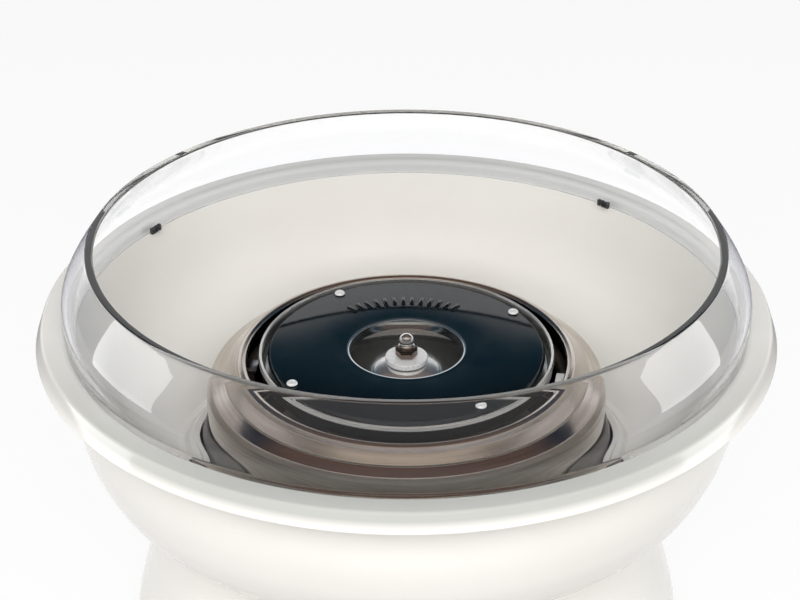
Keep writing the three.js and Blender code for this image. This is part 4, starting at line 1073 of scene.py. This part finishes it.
def make_world():
    """White for the camera, the room for gloss, and one even tone for scattered light."""
    world = bpy.data.worlds.new("studio")
    scene.world = world
    world.use_nodes = True
    t = Tree(world.node_tree)
    shade = world.node_tree.nodes["Background"]
    parts = t.node("ShaderNodeSeparateXYZ")
    t.join(t.node("ShaderNodeTexCoord").outputs["Generated"], parts.inputs[0])
    _, y, z = parts.outputs
    path = t.node("ShaderNodeLightPath")
    front = t.span(y, 0.2, -0.1)
    room = t.blend(t.span(z, BACKDROP_TOP + 0.004, BACKDROP_TOP + 0.03), ROOM_ABOVE, ROOM_FAR)
    room = t.blend(front, room, ROOM_FRONT)
    room = t.blend(t.math("MULTIPLY", front, t.span(z, 0.45, 0.62)), room, FRONT_WALL)
    room = t.blend(t.span(z, 0.72, 0.82), room, t.blend(t.span(y, -0.16, -0.34), ZENITH, CEILING))
    low_front = t.math("MULTIPLY", front, t.span(z, 0.42, 0.30))
    through = t.math("MULTIPLY", path.outputs["Is Transmission Ray"], t.math("SUBTRACT", 1.0, low_front))
    room = t.blend(through, room, ROOM_THROUGH)
    below_top = t.span(z, BACKDROP_TOP + 0.006, BACKDROP_TOP - 0.006)
    backdrop = t.math("MULTIPLY", t.span(y, 0.62, 0.75), below_top)
    white = t.blend(path.outputs["Is Transmission Ray"], WHITE, WHITE_THROUGH)
    mirrored = t.blend(backdrop, room, white)
    straight = t.math("SUBTRACT", path.outputs["Is Transmission Ray"], leaving_glass(t, path))
    colour = t.blend(straight, mirrored, WHITE_THROUGH)
    colour = t.blend(path.outputs["Is Camera Ray"], colour, WHITE)
    scattered = t.math("GREATER_THAN", path.outputs["Diffuse Depth"], 0.5)
    t.join(t.blend(scattered, colour, AMBIENT), shade.inputs["Color"])


LAMP_AIM = (0, 0, 0.13)


def softbox(name, place, width, height, power, mirrored):
    """A soft lamp aimed at the machine. Gloss sees it only where it is mirrored."""
    light = bpy.data.lights.new(name, "AREA")
    light.shape = "RECTANGLE"
    light.size, light.size_y = width, height
    light.energy = power
    made = bpy.data.objects.new(name, light)
    made.location = place
    direction = Vector(LAMP_AIM) - Vector(place)
    made.rotation_euler = direction.to_track_quat("-Z", "Y").to_euler()
    made.visible_glossy = mirrored
    made.visible_transmission = False
    made.visible_camera = False
    scene.collection.objects.link(made)


make_floor()
make_world()
softbox("left_softbox", (-0.95, 0.02, 0.26), 0.5, 0.5, mirrored=True, power=3.5)
softbox("right_softbox", (0.95, 0.02, 0.26), 0.5, 0.5, mirrored=True, power=3.3)
softbox("overhead", (0, 0.15, 1.2), 0.9, 0.9, mirrored=False, power=1.5)
softbox("key_light", (0, -0.9, 0.78), 0.9, 0.7, mirrored=False, power=14.5)

# Camera at the photograph's viewing angle: its place is set from the bowl's rim plane

VIEW_ELEVATION = 29.01
VIEW_DISTANCE = 710.6
FOCAL_PIXELS = 1748.0
IMAGE_W = 800
AXIS_X = 406.47
SENSOR = 36.0

camera = bpy.data.objects.new("camera", bpy.data.cameras.new("camera"))
scene.collection.objects.link(camera)
tilt = math.radians(VIEW_ELEVATION)
camera.location = Vector((0, -VIEW_DISTANCE * math.cos(tilt), VIEW_DISTANCE * math.sin(tilt) + RIM_Z)) * MM
camera.rotation_euler = (math.pi / 2 - tilt, 0, 0)
camera.data.sensor_width = SENSOR
camera.data.lens = FOCAL_PIXELS * SENSOR / IMAGE_W
camera.data.shift_x = -(AXIS_X - IMAGE_W / 2) / IMAGE_W
camera.data.clip_start = 0.01
camera.data.clip_end = 50
scene.camera = camera

scene.view_settings.view_transform = "Standard"
